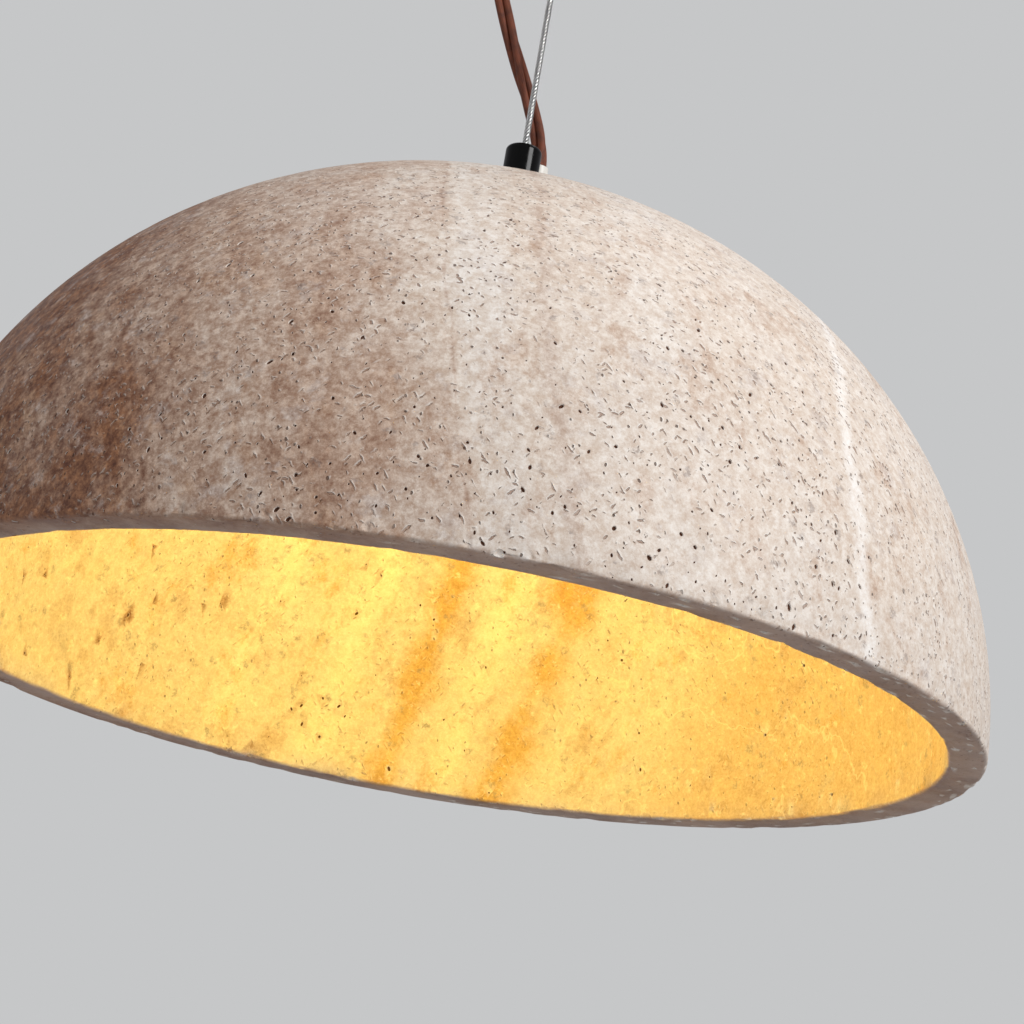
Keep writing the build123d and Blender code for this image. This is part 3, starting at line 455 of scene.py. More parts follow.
def make_finishes(settings):
    """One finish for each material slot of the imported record."""
    return {
        "black_satin": moulded("satin_black", srgb(8, 8, 8), srgb(5, 5, 5), 0.12, 1400.0, 0.002, specular=0.15),
        "polished_steel": metal("turned_steel", srgb(196, 195, 192), 0.34, 0.18),
        "zinc_steel": metal("zinc_plated_steel", srgb(128, 130, 134), 0.80, 0.66, 260.0, (1.0, 1.0, 1.0), 0.01),
        "wire_rope": wire_steel(settings.lines.rope_radius),
        "brass": screw_brass("brass", srgb(206, 166, 92), 0.20),
        "nickel": screw_brass("nickel", srgb(206, 202, 194), 0.18),
        "white_nylon": moulded("white_nylon", srgb(238, 236, 230), srgb(228, 224, 216), 0.36, 700.0, 0.01),
        "black_rubber": moulded("black_rubber", srgb(34, 33, 34), srgb(24, 23, 24), 0.62, 800.0, 0.03),
        "white_ceramic": moulded("glazed_ceramic", srgb(238, 234, 226), srgb(230, 224, 213), 0.22, 320.0, 0.015, 0.6),
        "bulb_plastic": moulded("bulb_collar", srgb(236, 233, 226), srgb(226, 222, 214), 0.38, 800.0, 0.01),
        "black_glass": moulded("black_glass", srgb(18, 17, 20), srgb(12, 12, 14), 0.08, 300.0, 0.004, 0.8),
        "opal_glass": lit_glass(settings.bulb),
        "wire_brown": moulded("brown_wire", srgb(92, 52, 30), srgb(78, 42, 24), 0.40, 900.0, 0.01),
        "wire_blue": moulded("blue_wire", srgb(34, 82, 168), srgb(28, 70, 150), 0.40, 900.0, 0.01),
        "wire_earth": striped_wire(),
    }


# ---------------------------------------------------------------- geometry trees


class Shape(Recipe):
    """A geometry tree with named inputs, which ends in real geometry with a material."""

    def __init__(self, name, inputs):
        super().__init__(bpy.data.node_groups.new(name, "GeometryNodeTree"))
        face = self.tree.interface
        face.new_socket(name="Geometry", in_out="INPUT", socket_type="NodeSocketGeometry")
        for label, kind in inputs.items():
            face.new_socket(name=label, in_out="INPUT", socket_type="NodeSocket" + kind)
        face.new_socket(name="Finish", in_out="INPUT", socket_type="NodeSocketMaterial")
        face.new_socket(name="Geometry", in_out="OUTPUT", socket_type="NodeSocketGeometry")
        self.given = self.node("NodeGroupInput").outputs

    def store(self, geometry, name, value, kind="FLOAT"):
        made = self.node(
            "GeometryNodeStoreNamedAttribute",
            {"Geometry": geometry, "Name": name, "Value": value},
            data_type=kind,
        )
        return made.outputs[0]

    def hollows(self, mesh, share, density, spacing, radius, depth, dark, seed):
        """Cutters for small hollows, strewn over a mesh and drawn out along its rise."""
        spots = self.node("GeometryNodeDistributePointsOnFaces", {
            "Mesh": mesh, "Distance Min": spacing, "Density Max": density, "Density Factor": share, "Seed": seed,
        }, distribute_method="POISSON").outputs

        def chance(low, high, offset):
            made = self.node("FunctionNodeRandomValue", {2: low, 3: high, 8: seed + offset}, data_type="FLOAT")
            return made.outputs[1]

        ball = self.node("GeometryNodeMeshUVSphere", {"Segments": 7, "Rings": 4, "Radius": 1.0}).outputs["Mesh"]
        ball = self.node("GeometryNodeTransform", {"Geometry": ball, "Translation": (0.0, 0.0, 0.12)}).outputs[0]
        below = self.split(self.node("GeometryNodeInputPosition").outputs[0])[2]
        # The pit value grows with depth, scaled by dark; the stone finish turns it into the pits' painted highlight and
        # painted shade.
        ball = self.store(ball, "pit", self.math("MULTIPLY", below, -dark, clamp=True))
        size = self.math("MULTIPLY", radius, self.math("MULTIPLY_ADD", self.math("POWER", chance(0.0, 1.0, 1), 3.0), 0.65, 0.35))
        scale = self.node("ShaderNodeCombineXYZ", {
            0: self.math("MULTIPLY", size, chance(1.0, 2.0, 2)), 1: size,
            2: self.math("MULTIPLY", size, self.math("MULTIPLY", chance(0.8, 1.2, 3), depth)),
        }).outputs[0]
        turn = self.node("FunctionNodeAlignRotationToVector", {
            "Rotation": spots["Rotation"], "Vector": (0.0, 0.0, 1.0)}, axis="X", pivot_axis="Z").outputs[0]
        spin = self.node("ShaderNodeCombineXYZ", {2: chance(-0.8, 0.8, 4)}).outputs[0]
        turn = self.node("FunctionNodeRotateRotation", {"Rotation": turn, "Rotate By": spin},
                         rotation_space="LOCAL").outputs[0]
        return self.node("GeometryNodeInstanceOnPoints", {
            "Points": spots["Points"], "Instance": ball, "Rotation": turn, "Scale": scale}).outputs[0]

    def finish(self, geometry):
        real = self.node("GeometryNodeRealizeInstances", {0: geometry}).outputs[0]
        coated = self.node(
            "GeometryNodeSetMaterial", {"Geometry": real, "Material": self.given["Finish"]}
        )
        self.node("NodeGroupOutput", {0: coated.outputs[0]})
        return self.tree

    def grow(self, name, mesh, finish, **sizes):
        """Runs the tree on a mesh and returns the result as an object with a plain mesh."""
        piece = bpy.data.objects.new(name, mesh)
        bpy.context.scene.collection.objects.link(piece)
        modifier = piece.modifiers.new("Shape", "NODES")
        modifier.node_group = self.tree
        sizes["finish"] = finish
        for item in self.tree.interface.items_tree:
            key = item.name.replace(" ", "_").lower()
            if item.in_out == "INPUT" and key in sizes:
                modifier[item.identifier] = sizes[key]
        graph = bpy.context.evaluated_depsgraph_get()
        result = bpy.data.meshes.new_from_object(piece.evaluated_get(graph))
        piece.modifiers.remove(modifier)
        piece.data = result
        bpy.data.meshes.remove(mesh)
        return piece


def turned_stone_tree():
    """Turns a closed profile about the upright axis, wears it, and cuts its pits and the cord's hole."""
    s = Shape("Turned stone", {
        "Segments": "Int", "Uneven Depth": "Float", "Chip Depth": "Float", "Chip Scale": "Float",
        "Seat Radius": "Float", "Hole Radius": "Float", "Hole Place": "Vector", "Hole Depth": "Float",
        "Inside Share": "Float", "Pit Density": "Float", "Pit Spacing": "Float",
        "Pit Radius": "Float", "Bite Density": "Float", "Bite Spacing": "Float", "Bite Radius": "Float",
    })
    profile, segments = s.given["Geometry"], s.given["Segments"]
    rows = s.node(
        "GeometryNodeAttributeDomainSize", {0: profile}, component="MESH"
    ).outputs["Point Count"]
    grid = s.node("GeometryNodeMeshGrid", {
        "Size X": segments, "Size Y": rows,
        "Vertices X": s.math("ADD", segments, 1.0), "Vertices Y": s.math("ADD", rows, 1.0),
    }).outputs["Mesh"]
    spot = s.split(s.node("GeometryNodeInputPosition").outputs[0])
    column = s.math("ADD", spot[0], s.math("MULTIPLY", segments, 0.5))
    row = s.math("ADD", spot[1], s.math("MULTIPLY", rows, 0.5))
    row = s.math("FLOORED_MODULO", s.math("ROUND", row), rows)
    place = s.node("GeometryNodeSampleIndex", {
        "Geometry": profile, "Value": s.node("GeometryNodeInputPosition").outputs[0], "Index": row,
    }, data_type="FLOAT_VECTOR").outputs[0]
    angle = s.math("DIVIDE", s.math("MULTIPLY", column, 2 * math.pi), segments)
    turned = s.node(
        "ShaderNodeVectorRotate", {"Vector": place, "Angle": angle}, rotation_type="Z_AXIS"
    ).outputs[0]
    for name in ("rim_face", "rim_edge", "inside"):
        value = s.node("GeometryNodeInputNamedAttribute", {"Name": name}, data_type="FLOAT").outputs[0]
        picked = s.node("GeometryNodeSampleIndex", {"Geometry": profile, "Index": row, "Value": value},
                        data_type="FLOAT").outputs[0]
        grid = s.store(grid, name, picked)
    shaped = s.node("GeometryNodeSetPosition", {"Geometry": grid, "Position": turned}).outputs[0]
    joined = s.node("GeometryNodeMergeByDistance", {"Geometry": shaped, "Distance": 0.001 * MM}).outputs[0]
    joined = s.node("GeometryNodeFlipFaces", {0: joined}).outputs[0]

    here = s.node("GeometryNodeInputPosition").outputs[0]
    flat = s.vector("LENGTH", s.vector("MULTIPLY", here, (1, 1, 0)))
    free = s.smooth(flat, s.given["Seat Radius"], s.math("MULTIPLY", s.given["Seat Radius"], 1.8))
    dents = s.smooth(s.noise(here, 70.0, 4.0, 0.6), 0.50, 0.80)
    chips = s.smooth(s.noise(here, s.given["Chip Scale"], 3.0, 0.6), 0.52, 0.72)
    worn = s.node("GeometryNodeInputNamedAttribute", {"Name": "rim_edge"}, data_type="FLOAT").outputs[0]
    depth = s.math("ADD", s.math("MULTIPLY", s.math("MULTIPLY", dents, free), s.given["Uneven Depth"]),
                   s.math("MULTIPLY", s.math("MULTIPLY", chips, worn), s.given["Chip Depth"]))
    inwards = s.vector("SCALE", s.node("GeometryNodeInputNormal").outputs[0], scale=s.math("MULTIPLY", depth, -1.0))
    eroded = s.node("GeometryNodeSetPosition", {"Geometry": joined, "Offset": inwards}).outputs[0]

    drill = s.node("GeometryNodeMeshCylinder", {
        "Vertices": 64, "Radius": s.given["Hole Radius"], "Depth": s.given["Hole Depth"],
    }).outputs["Mesh"]
    drill = s.node("GeometryNodeTransform", {"Geometry": drill, "Translation": s.given["Hole Place"]}).outputs[0]
    inside = s.node("GeometryNodeInputNamedAttribute", {"Name": "inside"}, data_type="FLOAT").outputs[0]
    outside = s.smooth(inside, 0.4, 0.6, 1.0, s.given["Inside Share"])
    busy = s.smooth(s.noise(here, 30.0, 3.0), 0.40, 0.58, 0.25, 1.0)
    share = s.math("MULTIPLY", s.math("MULTIPLY", outside, busy), free)
    pits = s.hollows(eroded, share, s.given["Pit Density"], s.given["Pit Spacing"], s.given["Pit Radius"], 1.3, 1.0, 11)
    bites = s.hollows(eroded, worn, s.given["Bite Density"], s.given["Bite Spacing"], s.given["Bite Radius"], 0.35, 0.0, 29)
    cut = s.node("GeometryNodeMeshBoolean", {"Mesh 1": eroded}, operation="DIFFERENCE", solver="MANIFOLD")
    for tool in (drill, pits, bites):
        s.tree.links.new(tool, cut.inputs["Mesh 2"])
    bored = cut.outputs["Mesh"]
    sharp = s.node("GeometryNodeInputMeshEdgeAngle").outputs[0]
    gentle = s.math("LESS_THAN", sharp, 0.95)
    smooth = s.node("GeometryNodeSetShadeSmooth", {0: bored, 2: gentle}, domain="EDGE").outputs[0]
    smooth = s.node("GeometryNodeSetShadeSmooth", {0: smooth}, domain="FACE").outputs[0]
    s.finish(smooth)
    return s


def twisted_tree():
    """Lays strands of wires, or cores of a cord, in a right-hand twist along a path."""
    s = Shape("Twisted strands", {
        "Strands": "Int", "Strand Circle": "Float", "Lay": "Float",
        "Wires": "Int", "Wire Circle": "Float", "Wire Lay": "Float",
        "Wire Radius": "Float", "Sides": "Int", "Step": "Float", "Start Turn": "Float",
    })
    path = s.node("GeometryNodeMeshToCurve", {0: s.given["Geometry"]}).outputs[0]
    path = s.node("GeometryNodeResampleCurve", {"Curve": path, "Length": s.given["Step"]}, mode="LENGTH").outputs[0]
    strands, wires = s.given["Strands"], s.given["Wires"]
    copies = s.node("GeometryNodeDuplicateElements", {
        "Geometry": path, "Amount": s.math("MULTIPLY", strands, wires),
    }, domain="SPLINE").outputs
    number = copies["Duplicate Index"]
    along = s.node("GeometryNodeSplineParameter").outputs["Length"]
    stored = s.store(copies["Geometry"], "along", along)

    def helix(lay, share, count):
        turn = s.math("DIVIDE", along, lay)
        return s.math("MULTIPLY", s.math("ADD", turn, s.math("DIVIDE", share, count)), 2 * math.pi)

    strand_turn = s.math("ADD", helix(s.given["Lay"], s.math("FLOORED_MODULO", number, strands), strands),
                         s.given["Start Turn"])
    wire_turn = helix(s.given["Wire Lay"], s.math("FLOOR", s.math("DIVIDE", number, strands)), wires)
    normal = s.node("GeometryNodeInputNormal").outputs[0]
    tangent = s.node("GeometryNodeInputTangent").outputs[0]
    side = s.vector("CROSS_PRODUCT", tangent, normal)

    def blend(a, turn_a, b, turn_b, sign=1.0):
        first = s.vector("SCALE", a, scale=s.math(turn_a, strand_turn))
        second = s.vector("SCALE", b, scale=s.math("MULTIPLY", s.math(turn_b, strand_turn), sign))
        return s.vector("ADD", first, second)

    outwards = blend(normal, "COSINE", side, "SINE")
    around = blend(side, "COSINE", normal, "SINE", -1.0)
    out = s.math("MULTIPLY_ADD", s.math("COSINE", wire_turn), s.given["Wire Circle"], s.given["Strand Circle"])
    sideways = s.math("MULTIPLY", s.math("SINE", wire_turn), s.given["Wire Circle"])
    offset = s.vector("ADD", s.vector("SCALE", outwards, scale=out), s.vector("SCALE", around, scale=sideways))
    laid = s.node("GeometryNodeSetPosition", {"Geometry": stored, "Offset": offset}).outputs[0]

    ring = s.node("GeometryNodeCurvePrimitiveCircle", {"Resolution": s.given["Sides"], "Radius": s.given["Wire Radius"]}).outputs[0]
    spot = s.node("GeometryNodeInputPosition").outputs[0]
    ring = s.store(ring, "round", s.vector("NORMALIZE", spot), "FLOAT_VECTOR")
    tubes = s.node("GeometryNodeCurveToMesh", {"Curve": laid, "Profile Curve": ring, "Fill Caps": True}).outputs[0]
    smooth = s.node("GeometryNodeSetShadeSmooth", {0: tubes}, domain="FACE").outputs[0]
    s.finish(smooth)
    return s


def coil_tree():
    """Winds a round wire into a coil spring."""
    s = Shape("Coil spring", {
        "Turns": "Float", "Coil Radius": "Float", "Height": "Float", "Wire Radius": "Float", "Bottom": "Vector",
    })
    coil = s.node("GeometryNodeCurveSpiral", {
        "Resolution": 40, "Rotations": s.given["Turns"], "Start Radius": s.given["Coil Radius"],
        "End Radius": s.given["Coil Radius"], "Height": s.given["Height"],
    }).outputs[0]
    ring = s.node("GeometryNodeCurvePrimitiveCircle", {"Resolution": 12, "Radius": s.given["Wire Radius"]}).outputs[0]
    wire = s.node("GeometryNodeCurveToMesh", {"Curve": coil, "Profile Curve": ring, "Fill Caps": True}).outputs[0]
    wire = s.node("GeometryNodeTransform", {"Geometry": wire, "Translation": s.given["Bottom"]}).outputs[0]
    s.finish(s.node("GeometryNodeSetShadeSmooth", {0: wire}, domain="FACE").outputs[0])
    return s


def spline_points(name, route):
    """Points along the smooth line that a route's points pull, in order."""
    curve = bpy.data.curves.new(name, "CURVE")
    curve.dimensions = "3D"
    curve.resolution_u = 12
    line = curve.splines.new("NURBS")
    line.points.add(len(route) - 1)
    for point, place in zip(line.points, route):
        point.co = (*place, 1.0)
    line.order_u = 3
    line.use_endpoint_u = True
    holder = bpy.data.objects.new(name, curve)
    bpy.context.scene.collection.objects.link(holder)
    graph = bpy.context.evaluated_depsgraph_get()
    mesh = bpy.data.meshes.new_from_object(holder.evaluated_get(graph))
    points = [vertex.co.copy() for vertex in mesh.vertices]
    bpy.data.meshes.remove(mesh)
    bpy.data.objects.remove(holder)
    bpy.data.curves.remove(curve)
    return points


def line_mesh(name, points, closed=False, attributes=None):
    """A chain of edges through points, with values stored on them."""
    mesh = bpy.data.meshes.new(name)
    edges = [(n, n + 1) for n in range(len(points) - 1)]
    if closed:
        edges.append((len(points) - 1, 0))
    mesh.from_pydata([tuple(point) for point in points], edges, [])
    for label, values in (attributes or {}).items():
        mesh.attributes.new(label, "FLOAT", "POINT").data.foreach_set("value", values)
    return mesh


# ---------------------------------------------------------------- settings


class PENDANT_PG_stone(bpy.types.PropertyGroup):
    segments: IntProperty(name="Segments", description="Faces round the dome", default=256, min=16)
    rows: IntProperty(name="Rows", description="Faces from the cap down to the rim", default=64, min=8)
    wall: FloatProperty(name="Rim wall", description="Wall at the rim", default=0.014, unit="LENGTH")
    top_wall: FloatProperty(name="Top wall", description="Wall under the cap", default=0.016, unit="LENGTH")
    edge: FloatProperty(name="Rim edge", description="Rounding of the rim", default=0.0016, unit="LENGTH")
    uneven: FloatProperty(name="Unevenness", description="Depth of soft dents", default=0.00035, unit="LENGTH")
    chip: FloatProperty(name="Chips", description="Depth of chips along the rim", default=0.0013, unit="LENGTH")
    pit_size: FloatProperty(name="Pit size", description="Scale of the pits", default=1.0)
    pit_density: FloatProperty(name="Pit density", description="Hollows on a square metre", default=19000.0)
    inside_share: FloatProperty(name="Inside share", description="Share of hollows kept inside", default=0.14)
    layer_turn: FloatProperty(
        name="Layer turn", description="Turn of the stone's layers about Z",
        default=math.radians(6.5), subtype="ANGLE")
    layer_lean: FloatProperty(
        name="Layer lean", description="How fast the lean of the layers changes across the stone", default=1.2)
    cream: FloatVectorProperty(
        name="Cream", description="Main tone", size=4, subtype="COLOR", default=srgb(217, 201, 186))
    pale: FloatVectorProperty(
        name="Pale", description="Palest layers", size=4, subtype="COLOR", default=srgb(225, 215, 205))
    # The darkest end of the left-to-right tone ramp: partly the stone's own layers, partly painted shade.
    brown: FloatVectorProperty(
        name="Brown", description="Darkest layers", size=4, subtype="COLOR", default=srgb(134, 88, 58))


class PENDANT_PG_lines(bpy.types.PropertyGroup):
    rope_radius: FloatProperty(name="Rope radius", description="Radius of the wire rope", default=0.00125, unit="LENGTH")
    rope_lay: FloatProperty(name="Rope lay", description="Length of a strand's turn", default=0.010, unit="LENGTH")
    cord_radius: FloatProperty(name="Cord radius", description="Radius of the textile cord", default=0.00325, unit="LENGTH")
    cord_lay: FloatProperty(name="Cord lay", description="Length of a core's turn", default=0.135, unit="LENGTH")
    # Yarn colours: the groove tone is painted shade, the crown tone a painted highlight.
    cord_groove_shade: FloatVectorProperty(
        name="Cord, dark", description="Yarn in the shade", size=4, subtype="COLOR", default=srgb(36, 14, 9))
    cord_light: FloatVectorProperty(
        name="Cord, light", description="Yarn in the light", size=4, subtype="COLOR", default=srgb(156, 78, 44))


class PENDANT_PG_bulb(bpy.types.PropertyGroup):
    glow: FloatVectorProperty(
        name="Glow", description="Colour of the light", size=4, subtype="COLOR", default=(1.0, 0.73, 0.060, 1.0))
    strength: FloatProperty(name="Strength", description="Brightness of the glass", default=69.0)
    thread_depth: FloatProperty(name="Thread depth", description="Depth of the rolled thread", default=0.001, unit="LENGTH")
    pitch: FloatProperty(name="Pitch", description="Pitch of the thread", default=0.003629, unit="LENGTH")


class PENDANT_PG_stage(bpy.types.PropertyGroup):
    distance: FloatProperty(
        name="Distance", description="From the camera to the middle of the rim", default=0.96544, unit="LENGTH")
    elevation: FloatProperty(
        name="Elevation", description="Camera below the rim", default=math.radians(-12.658), subtype="ANGLE")
    yaw: FloatProperty(name="Yaw", description="Aim to the side", default=math.radians(-1.073), subtype="ANGLE")
    pitch: FloatProperty(name="Pitch", description="Aim upwards", default=math.radians(4.226), subtype="ANGLE")
    roll: FloatProperty(name="Roll", description="Camera's lean", default=math.radians(9.75), subtype="ANGLE")
    lens: FloatProperty(name="Lens", description="Focal length in mm", default=93.49)
    floor_z: FloatProperty(name="Floor", description="Height of the floor", default=-2.3, unit="LENGTH")
    backdrop: FloatVectorProperty(
        name="Backdrop", description="Colour behind the lamp", size=4, subtype="COLOR", default=srgb(198, 199, 200))


class PENDANT_PG_settings(bpy.types.PropertyGroup):
    stone: PointerProperty(type=PENDANT_PG_stone)
    lines: PointerProperty(type=PENDANT_PG_lines)
    bulb: PointerProperty(type=PENDANT_PG_bulb)
    stage: PointerProperty(type=PENDANT_PG_stage)


# ---------------------------------------------------------------- pieces


def dome_profile(stone):
    """The wall's closed outline, from the stem's hole out over the dome and back inside."""
    radius = (STONE_HIGH.x - STONE_LOW.x) / 2
    rim_z = STONE_LOW.z
    height = DOME_RISE
    seat_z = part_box("cap_gasket")[0].z
    stem_hole, cap_seat, inner_seat = 0.0043, 0.0073, 0.022
    inner_radius, inner_height = radius - stone.wall, height - stone.top_wall
    inner_seat_z = rim_z + height - stone.top_wall
    points, face, edge, inside = [], [], [], []

    def add(r, z, on_face=0.0, on_edge=0.0, within=0.0):
        points.append((r, 0.0, z))
        face.append(on_face)
        edge.append(on_edge)
        inside.append(within)

    add(stem_hole, seat_z)
    add(cap_seat, seat_z)
    start = math.asin(cap_seat / radius)
    stop = math.pi / 2 - stone.edge / height
    for n in range(stone.rows + 1):
        a = start + (stop - start) * n / stone.rows
        low = n / stone.rows
        add(radius * math.sin(a), rim_z + height * math.cos(a), 0.0, max(0.0, (low - 0.985) / 0.015))
    for n in range(1, 6):
        a = math.pi / 2 * n / 6
        add(radius - stone.edge * (1 - math.cos(a)), rim_z + stone.edge * (1 - math.sin(a)), n / 6, 1.0)
    face_start, face_stop = radius - stone.edge, inner_radius + stone.edge
    for n in range(9):
        share = n / 8
        add(face_start + (face_stop - face_start) * share, rim_z, 1.0,
            max(0.0, 1 - share * 5, 1 - (1 - share) * 5) * 0.6, share)
    for n in range(1, 6):
        a = math.pi / 2 * n / 6
        add(inner_radius + stone.edge * (1 - math.sin(a)), rim_z + stone.edge * (1 - math.cos(a)), 1 - n / 6, 0.8, 1.0)
    inner_rows = stone.rows // 2
    start = math.pi / 2 - stone.edge / inner_height
    stop = math.asin(inner_seat / inner_radius)
    for n in range(inner_rows + 1):
        a = start + (stop - start) * n / inner_rows
        add(inner_radius * math.sin(a), rim_z + inner_height * math.cos(a), 0.0, 0.5 if n == 0 else 0.0, 1.0)
    add(inner_seat, inner_seat_z, within=1.0)
    add(stem_hole, inner_seat_z, within=1.0)
    return line_mesh("dome_profile", points, True, {"rim_face": face, "rim_edge": edge, "inside": inside})


def twisted(name, points, settings, finish, kind):
    """Strands laid along points: steel wires, or the textile cord's three cores."""
    lines = settings.lines
    if kind == "rope":
        strand = lines.rope_radius / 3
        count = 9
        wire = strand * math.sin(math.pi / count) / (1 + math.sin(math.pi / count))
        sizes = dict(strands=6, strand_circle=2 * strand, lay=lines.rope_lay, wires=count,
                     wire_circle=strand - 1.5 * wire, wire_lay=-0.0085, wire_radius=1.5 * wire,
                     sides=5, step=0.0006, start_turn=0.0)
    else:
        core = lines.cord_radius / (1 + 2 / math.sqrt(3))
        sizes = dict(strands=3, strand_circle=lines.cord_radius - core, lay=lines.cord_lay, wires=1,
                     wire_circle=0.0, wire_lay=1.0, wire_radius=core, sides=28, step=0.0007, start_turn=0.9)
    return twisted_tree().grow(name, line_mesh(name, points), finish, **sizes)


class PENDANT_OT_stone(bpy.types.Operator):
    """Turn the travertine dome and wear its surface"""
    bl_idname = "pendant.stone"
    bl_label = "Stone dome"

    def execute(self, context):
        stone = context.scene.pendant.stone
        dome = turned_stone_tree().grow(
            "stone_dome", dome_profile(stone), travertine(stone), segments=stone.segments,
            uneven_depth=stone.uneven, chip_depth=stone.chip, chip_scale=160.0, seat_radius=0.024,
            hole_radius=0.0042, hole_place=(0.0066, 0.0100, -0.185), hole_depth=0.03,
            inside_share=stone.inside_share, pit_density=stone.pit_density, pit_spacing=0.0028,
            pit_radius=0.85 * MM * stone.pit_size, bite_density=30000.0, bite_spacing=0.006,
            bite_radius=1.9 * MM)
        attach(dome, "shade")
        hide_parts("stone_shade")
        return {"FINISHED"}


class PENDANT_OT_rope(bpy.types.Operator):
    """Lay the wire rope's strands from the gripper down to the cap"""
    bl_idname = "pendant.rope"
    bl_label = "Wire rope"

    def execute(self, context):
        settings = context.scene.pendant
        steps = 4
        route = [(0.0, 0.0, ROPE_HIGH.z + (ROPE_LOW.z - ROPE_HIGH.z) * n / steps) for n in range(steps + 1)]
        points = spline_points("rope_line", route)
        rope = twisted("rope_strands", points, settings, FINISHES["wire_rope"], "rope")
        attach(rope, "rope")
        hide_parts("suspension_rope")
        return {"FINISHED"}


class PENDANT_OT_cord(bpy.types.Operator):
    """Twist the textile cord's cores, in its free stretch and inside the fittings"""
    bl_idname = "pendant.cord"
    bl_label = "Textile cord"

    def execute(self, context):
        settings = context.scene.pendant
        cloth = braid("brown_braid", tuple(settings.lines.cord_groove_shade), tuple(settings.lines.cord_light))
        points = spline_points("cord_line", CORD_ROUTE)
        cord = twisted("cord_cores", points, settings, cloth, "cord")
        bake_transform(cord)
        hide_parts("textile_cord")
        for name, node, body in (("cord_in_gland", "canopy_cord", "ceiling_fitting"),
                                 ("cord_in_shade", "inner_cord", "shade")):
            low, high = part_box(node)
            x, y = (low.x + high.x) / 2, (low.y + high.y) / 2
            ends = [(x, y, low.z), (x, y, high.z)]
            short = twisted(name, ends, settings, cloth, "cord")
            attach(short, body)
            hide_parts(node)
        return {"FINISHED"}


def threaded_shell(name, inner, outer, bottom, top, pitch, depth, finish):
    """A metal sleeve whose wall is rolled into a screw thread; inner 0 closes it as a cup."""
    around, rows = 72, int((top - bottom) / pitch * 14)
    verts, faces = [], []
    for n in range(rows + 1):
        z = bottom + (top - bottom) * n / rows
        fade = min(1.0, (z - bottom) / pitch / 0.6, (top - z) / pitch / 0.6)
        for m in range(around):
            a = 2 * math.pi * m / around
            wave = 0.5 - 0.5 * math.cos(2 * math.pi * z / pitch - a)
            r = outer - depth * (1 - wave * fade)
            verts.append((r * math.cos(a), r * math.sin(a), z))
    for n in range(rows):
        for m in range(around):
            a, b = n * around + m, n * around + (m + 1) % around
            faces.append((a, b, b + around, a + around))
    if inner > 0:
        start = len(verts)
        for z in (bottom, top):
            for m in range(around):
                a = 2 * math.pi * m / around
                verts.append((inner * math.cos(a), inner * math.sin(a), z))
        last = rows * around
        for m in range(around):
            k = (m + 1) % around
            faces.append((start + m, start + around + m, start + around + k, start + k))
            faces.append((m, start + m, start + k, k))
            faces.append((last + m, last + k, start + around + k, start + around + m))
    else:
        faces.append(tuple(range(around - 1, -1, -1)))
        faces.append(tuple(range(rows * around, (rows + 1) * around)))
    mesh = bpy.data.meshes.new(name)
    mesh.from_pydata(verts, [], faces)
    mesh.polygons.foreach_set("use_smooth", [len(face) == 4 for face in faces])
    mesh.materials.append(finish)
    piece = bpy.data.objects.new(name, mesh)
    bpy.context.scene.collection.objects.link(piece)
    return piece


class PENDANT_OT_bulb(bpy.types.Operator):
    """Roll the screw thread of the bulb's cap"""
    bl_idname = "pendant.bulb"
    bl_label = "Bulb cap"

    def execute(self, context):
        bulb = context.scene.pendant.bulb
        low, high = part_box("bulb_cap")
        cap = threaded_shell("threaded_cap", 0.0, high.x, low.z, high.z, bulb.pitch, bulb.thread_depth,
                             FINISHES["nickel"])
        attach(cap, "bulb")
        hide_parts("bulb_cap")
        return {"FINISHED"}


class PENDANT_OT_spring(bpy.types.Operator):
    """Coil the gripper's spring at its rest length; on the real lamp it flattens as the sleeve is pushed up"""
    bl_idname = "pendant.spring"
    bl_label = "Gripper spring"

    def execute(self, context):
        low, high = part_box("grip_spring")
        wire, travel = 0.4 * MM, 2.5 * MM
        height = high.z - low.z
        spring = coil_tree().grow(
            "coil_spring", line_mesh("coil_line", [(0.0, 0.0, low.z), (0.0, 0.0, high.z)]), FINISHES["zinc_steel"],
            turns=5.0, coil_radius=high.x - wire, height=height - 2 * wire, wire_radius=wire,
            bottom=(0.0, 0.0, low.z + wire))
        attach(spring, "ceiling_fitting")
        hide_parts("grip_spring")
        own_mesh(spring)
        return {"FINISHED"}


class PENDANT_OT_finishes(bpy.types.Operator):
    """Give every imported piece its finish"""
    bl_idname = "pendant.finishes"
    bl_label = "Finishes"

    def execute(self, context):
        slots = {part["node"]: part["material_slot"] for part in frame["record"]["subparts"]}
        FINISHES.update(make_finishes(context.scene.pendant))
        for name, node in frame["nodes"].items():
            finish = FINISHES.get(slots[name])
            if finish is not None:
                node.data.materials.clear()
                node.data.materials.append(finish)
        return {"FINISHED"}


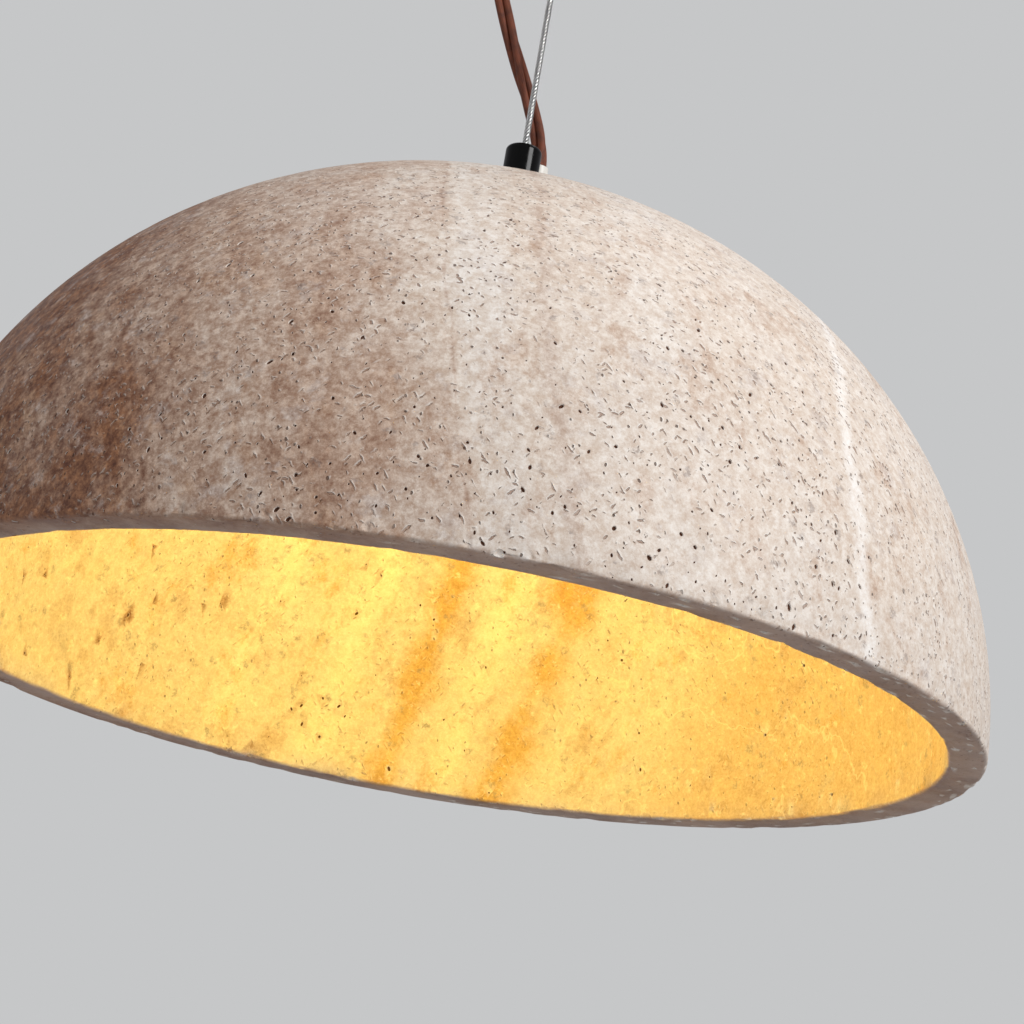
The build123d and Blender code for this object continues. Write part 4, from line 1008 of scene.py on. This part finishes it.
class PENDANT_OT_stage(bpy.types.Operator):
    """Set up the floor, the lamps, the backdrop and the camera"""
    bl_idname = "pendant.stage"
    bl_label = "Stage"

    def execute(self, context):
        stage = context.scene.pendant.stage
        scene = context.scene
        scene.view_settings.view_transform = "Standard"
        self.floor(scene, stage)
        self.world(scene, stage)
        for name, place, size, power in (
            ("key", (1.15, -1.15, 0.45), (0.75, 0.6), 21.0),
            ("top", (0.15, 0.10, 1.15), (1.2, 1.2), 6.0),
            ("fill", (-1.3, -0.9, -0.05), (1.0, 1.0), 2.0),
        ):
            self.lamp(scene, name, Vector(place), size, power)
        self.camera(scene, stage)
        return {"FINISHED"}

    def floor(self, scene, stage):
        half = 5.0
        mesh = bpy.data.meshes.new("floor")
        corners = [(-half, -half), (half, -half), (half, half), (-half, half)]
        mesh.from_pydata([(x, y, stage.floor_z) for x, y in corners], [], [(0, 1, 2, 3)])
        f = Finish("pale_floor")
        speck = f.noise(f.place(), 30.0, 4.0)
        mesh.materials.append(f.done(
            base_color=f.mix(speck, srgb(232, 232, 231), srgb(240, 240, 240)), roughness=0.9,
            specular_ior_level=0.1))
        floor = bpy.data.objects.new("floor", mesh)
        scene.collection.objects.link(floor)

    def world(self, scene, stage):
        world = bpy.data.worlds.new("studio")
        world.use_nodes = True
        scene.world = world
        r = Recipe(world.node_tree)
        world.node_tree.nodes.clear()
        rays = r.node("ShaderNodeLightPath").outputs
        seen = r.math("MAXIMUM", rays["Is Camera Ray"], rays["Is Transmission Ray"])
        soft = r.node("ShaderNodeBackground", {"Color": srgb(205, 206, 210), "Strength": 0.60})
        back = r.node("ShaderNodeBackground", {"Color": tuple(stage.backdrop), "Strength": 1.0})
        both = r.node("ShaderNodeMixShader", {0: seen, 1: soft.outputs[0], 2: back.outputs[0]})
        r.node("ShaderNodeOutputWorld", {"Surface": both.outputs[0]})

    def lamp(self, scene, name, place, size, power):
        light = bpy.data.lights.new(name, "AREA")
        light.shape = "RECTANGLE"
        light.size, light.size_y = size
        light.energy = power
        lamp = bpy.data.objects.new(name, light)
        lamp.location = place
        aim = Vector((0.0, 0.0, (STONE_LOW.z + STONE_HIGH.z) / 2)) - place
        lamp.rotation_euler = aim.to_track_quat("-Z", "Y").to_euler()
        scene.collection.objects.link(lamp)

    def camera(self, scene, stage):
        lens = bpy.data.cameras.new("camera")
        lens.lens = stage.lens
        lens.sensor_width = 36.0
        camera = bpy.data.objects.new("camera", lens)
        reach = stage.distance
        camera.location = (0.0, -reach * math.cos(stage.elevation),
                           STONE_LOW.z + reach * math.sin(stage.elevation))
        aim = Matrix.Rotation(math.pi / 2 - stage.elevation, 3, "X")
        aim = aim @ Matrix.Rotation(stage.yaw, 3, "Y")
        aim = aim @ Matrix.Rotation(stage.pitch, 3, "X")
        aim = aim @ Matrix.Rotation(stage.roll, 3, "Z")
        camera.rotation_euler = aim.to_euler()
        scene.collection.objects.link(camera)
        scene.camera = camera


class PENDANT_PT_panel(bpy.types.Panel):
    """Lists the lamp's pieces"""
    bl_idname = "PENDANT_PT_panel"
    bl_label = "Pendant lamp"
    bl_space_type = "VIEW_3D"
    bl_region_type = "UI"
    bl_category = "Pendant lamp"

    def draw(self, context):
        settings = context.scene.pendant
        for operator in OPERATORS:
            self.layout.operator(operator.bl_idname)
        for group in (settings.stone, settings.lines, settings.bulb, settings.stage):
            box = self.layout.box()
            for name in group.bl_rna.properties.keys():
                if name not in ("rna_type", "name"):
                    box.prop(group, name)


FINISHES = {}
GROUPS = (PENDANT_PG_stone, PENDANT_PG_lines, PENDANT_PG_bulb, PENDANT_PG_stage, PENDANT_PG_settings)
OPERATORS = (PENDANT_OT_finishes, PENDANT_OT_stone, PENDANT_OT_rope, PENDANT_OT_cord,
             PENDANT_OT_bulb, PENDANT_OT_spring, PENDANT_OT_stage)


def register():
    for cls in (*GROUPS, *OPERATORS, PENDANT_PT_panel):
        bpy.utils.register_class(cls)
    bpy.types.Scene.pendant = PointerProperty(type=PENDANT_PG_settings)


def unregister():
    del bpy.types.Scene.pendant
    for cls in reversed((*GROUPS, *OPERATORS, PENDANT_PT_panel)):
        bpy.utils.unregister_class(cls)


def main():
    register()
    bpy.ops.pendant.finishes()
    bpy.ops.pendant.stone()
    bpy.ops.pendant.rope()
    bpy.ops.pendant.cord()
    bpy.ops.pendant.bulb()
    bpy.ops.pendant.spring()
    bpy.ops.pendant.stage()


if __name__ == "__main__":
    main()
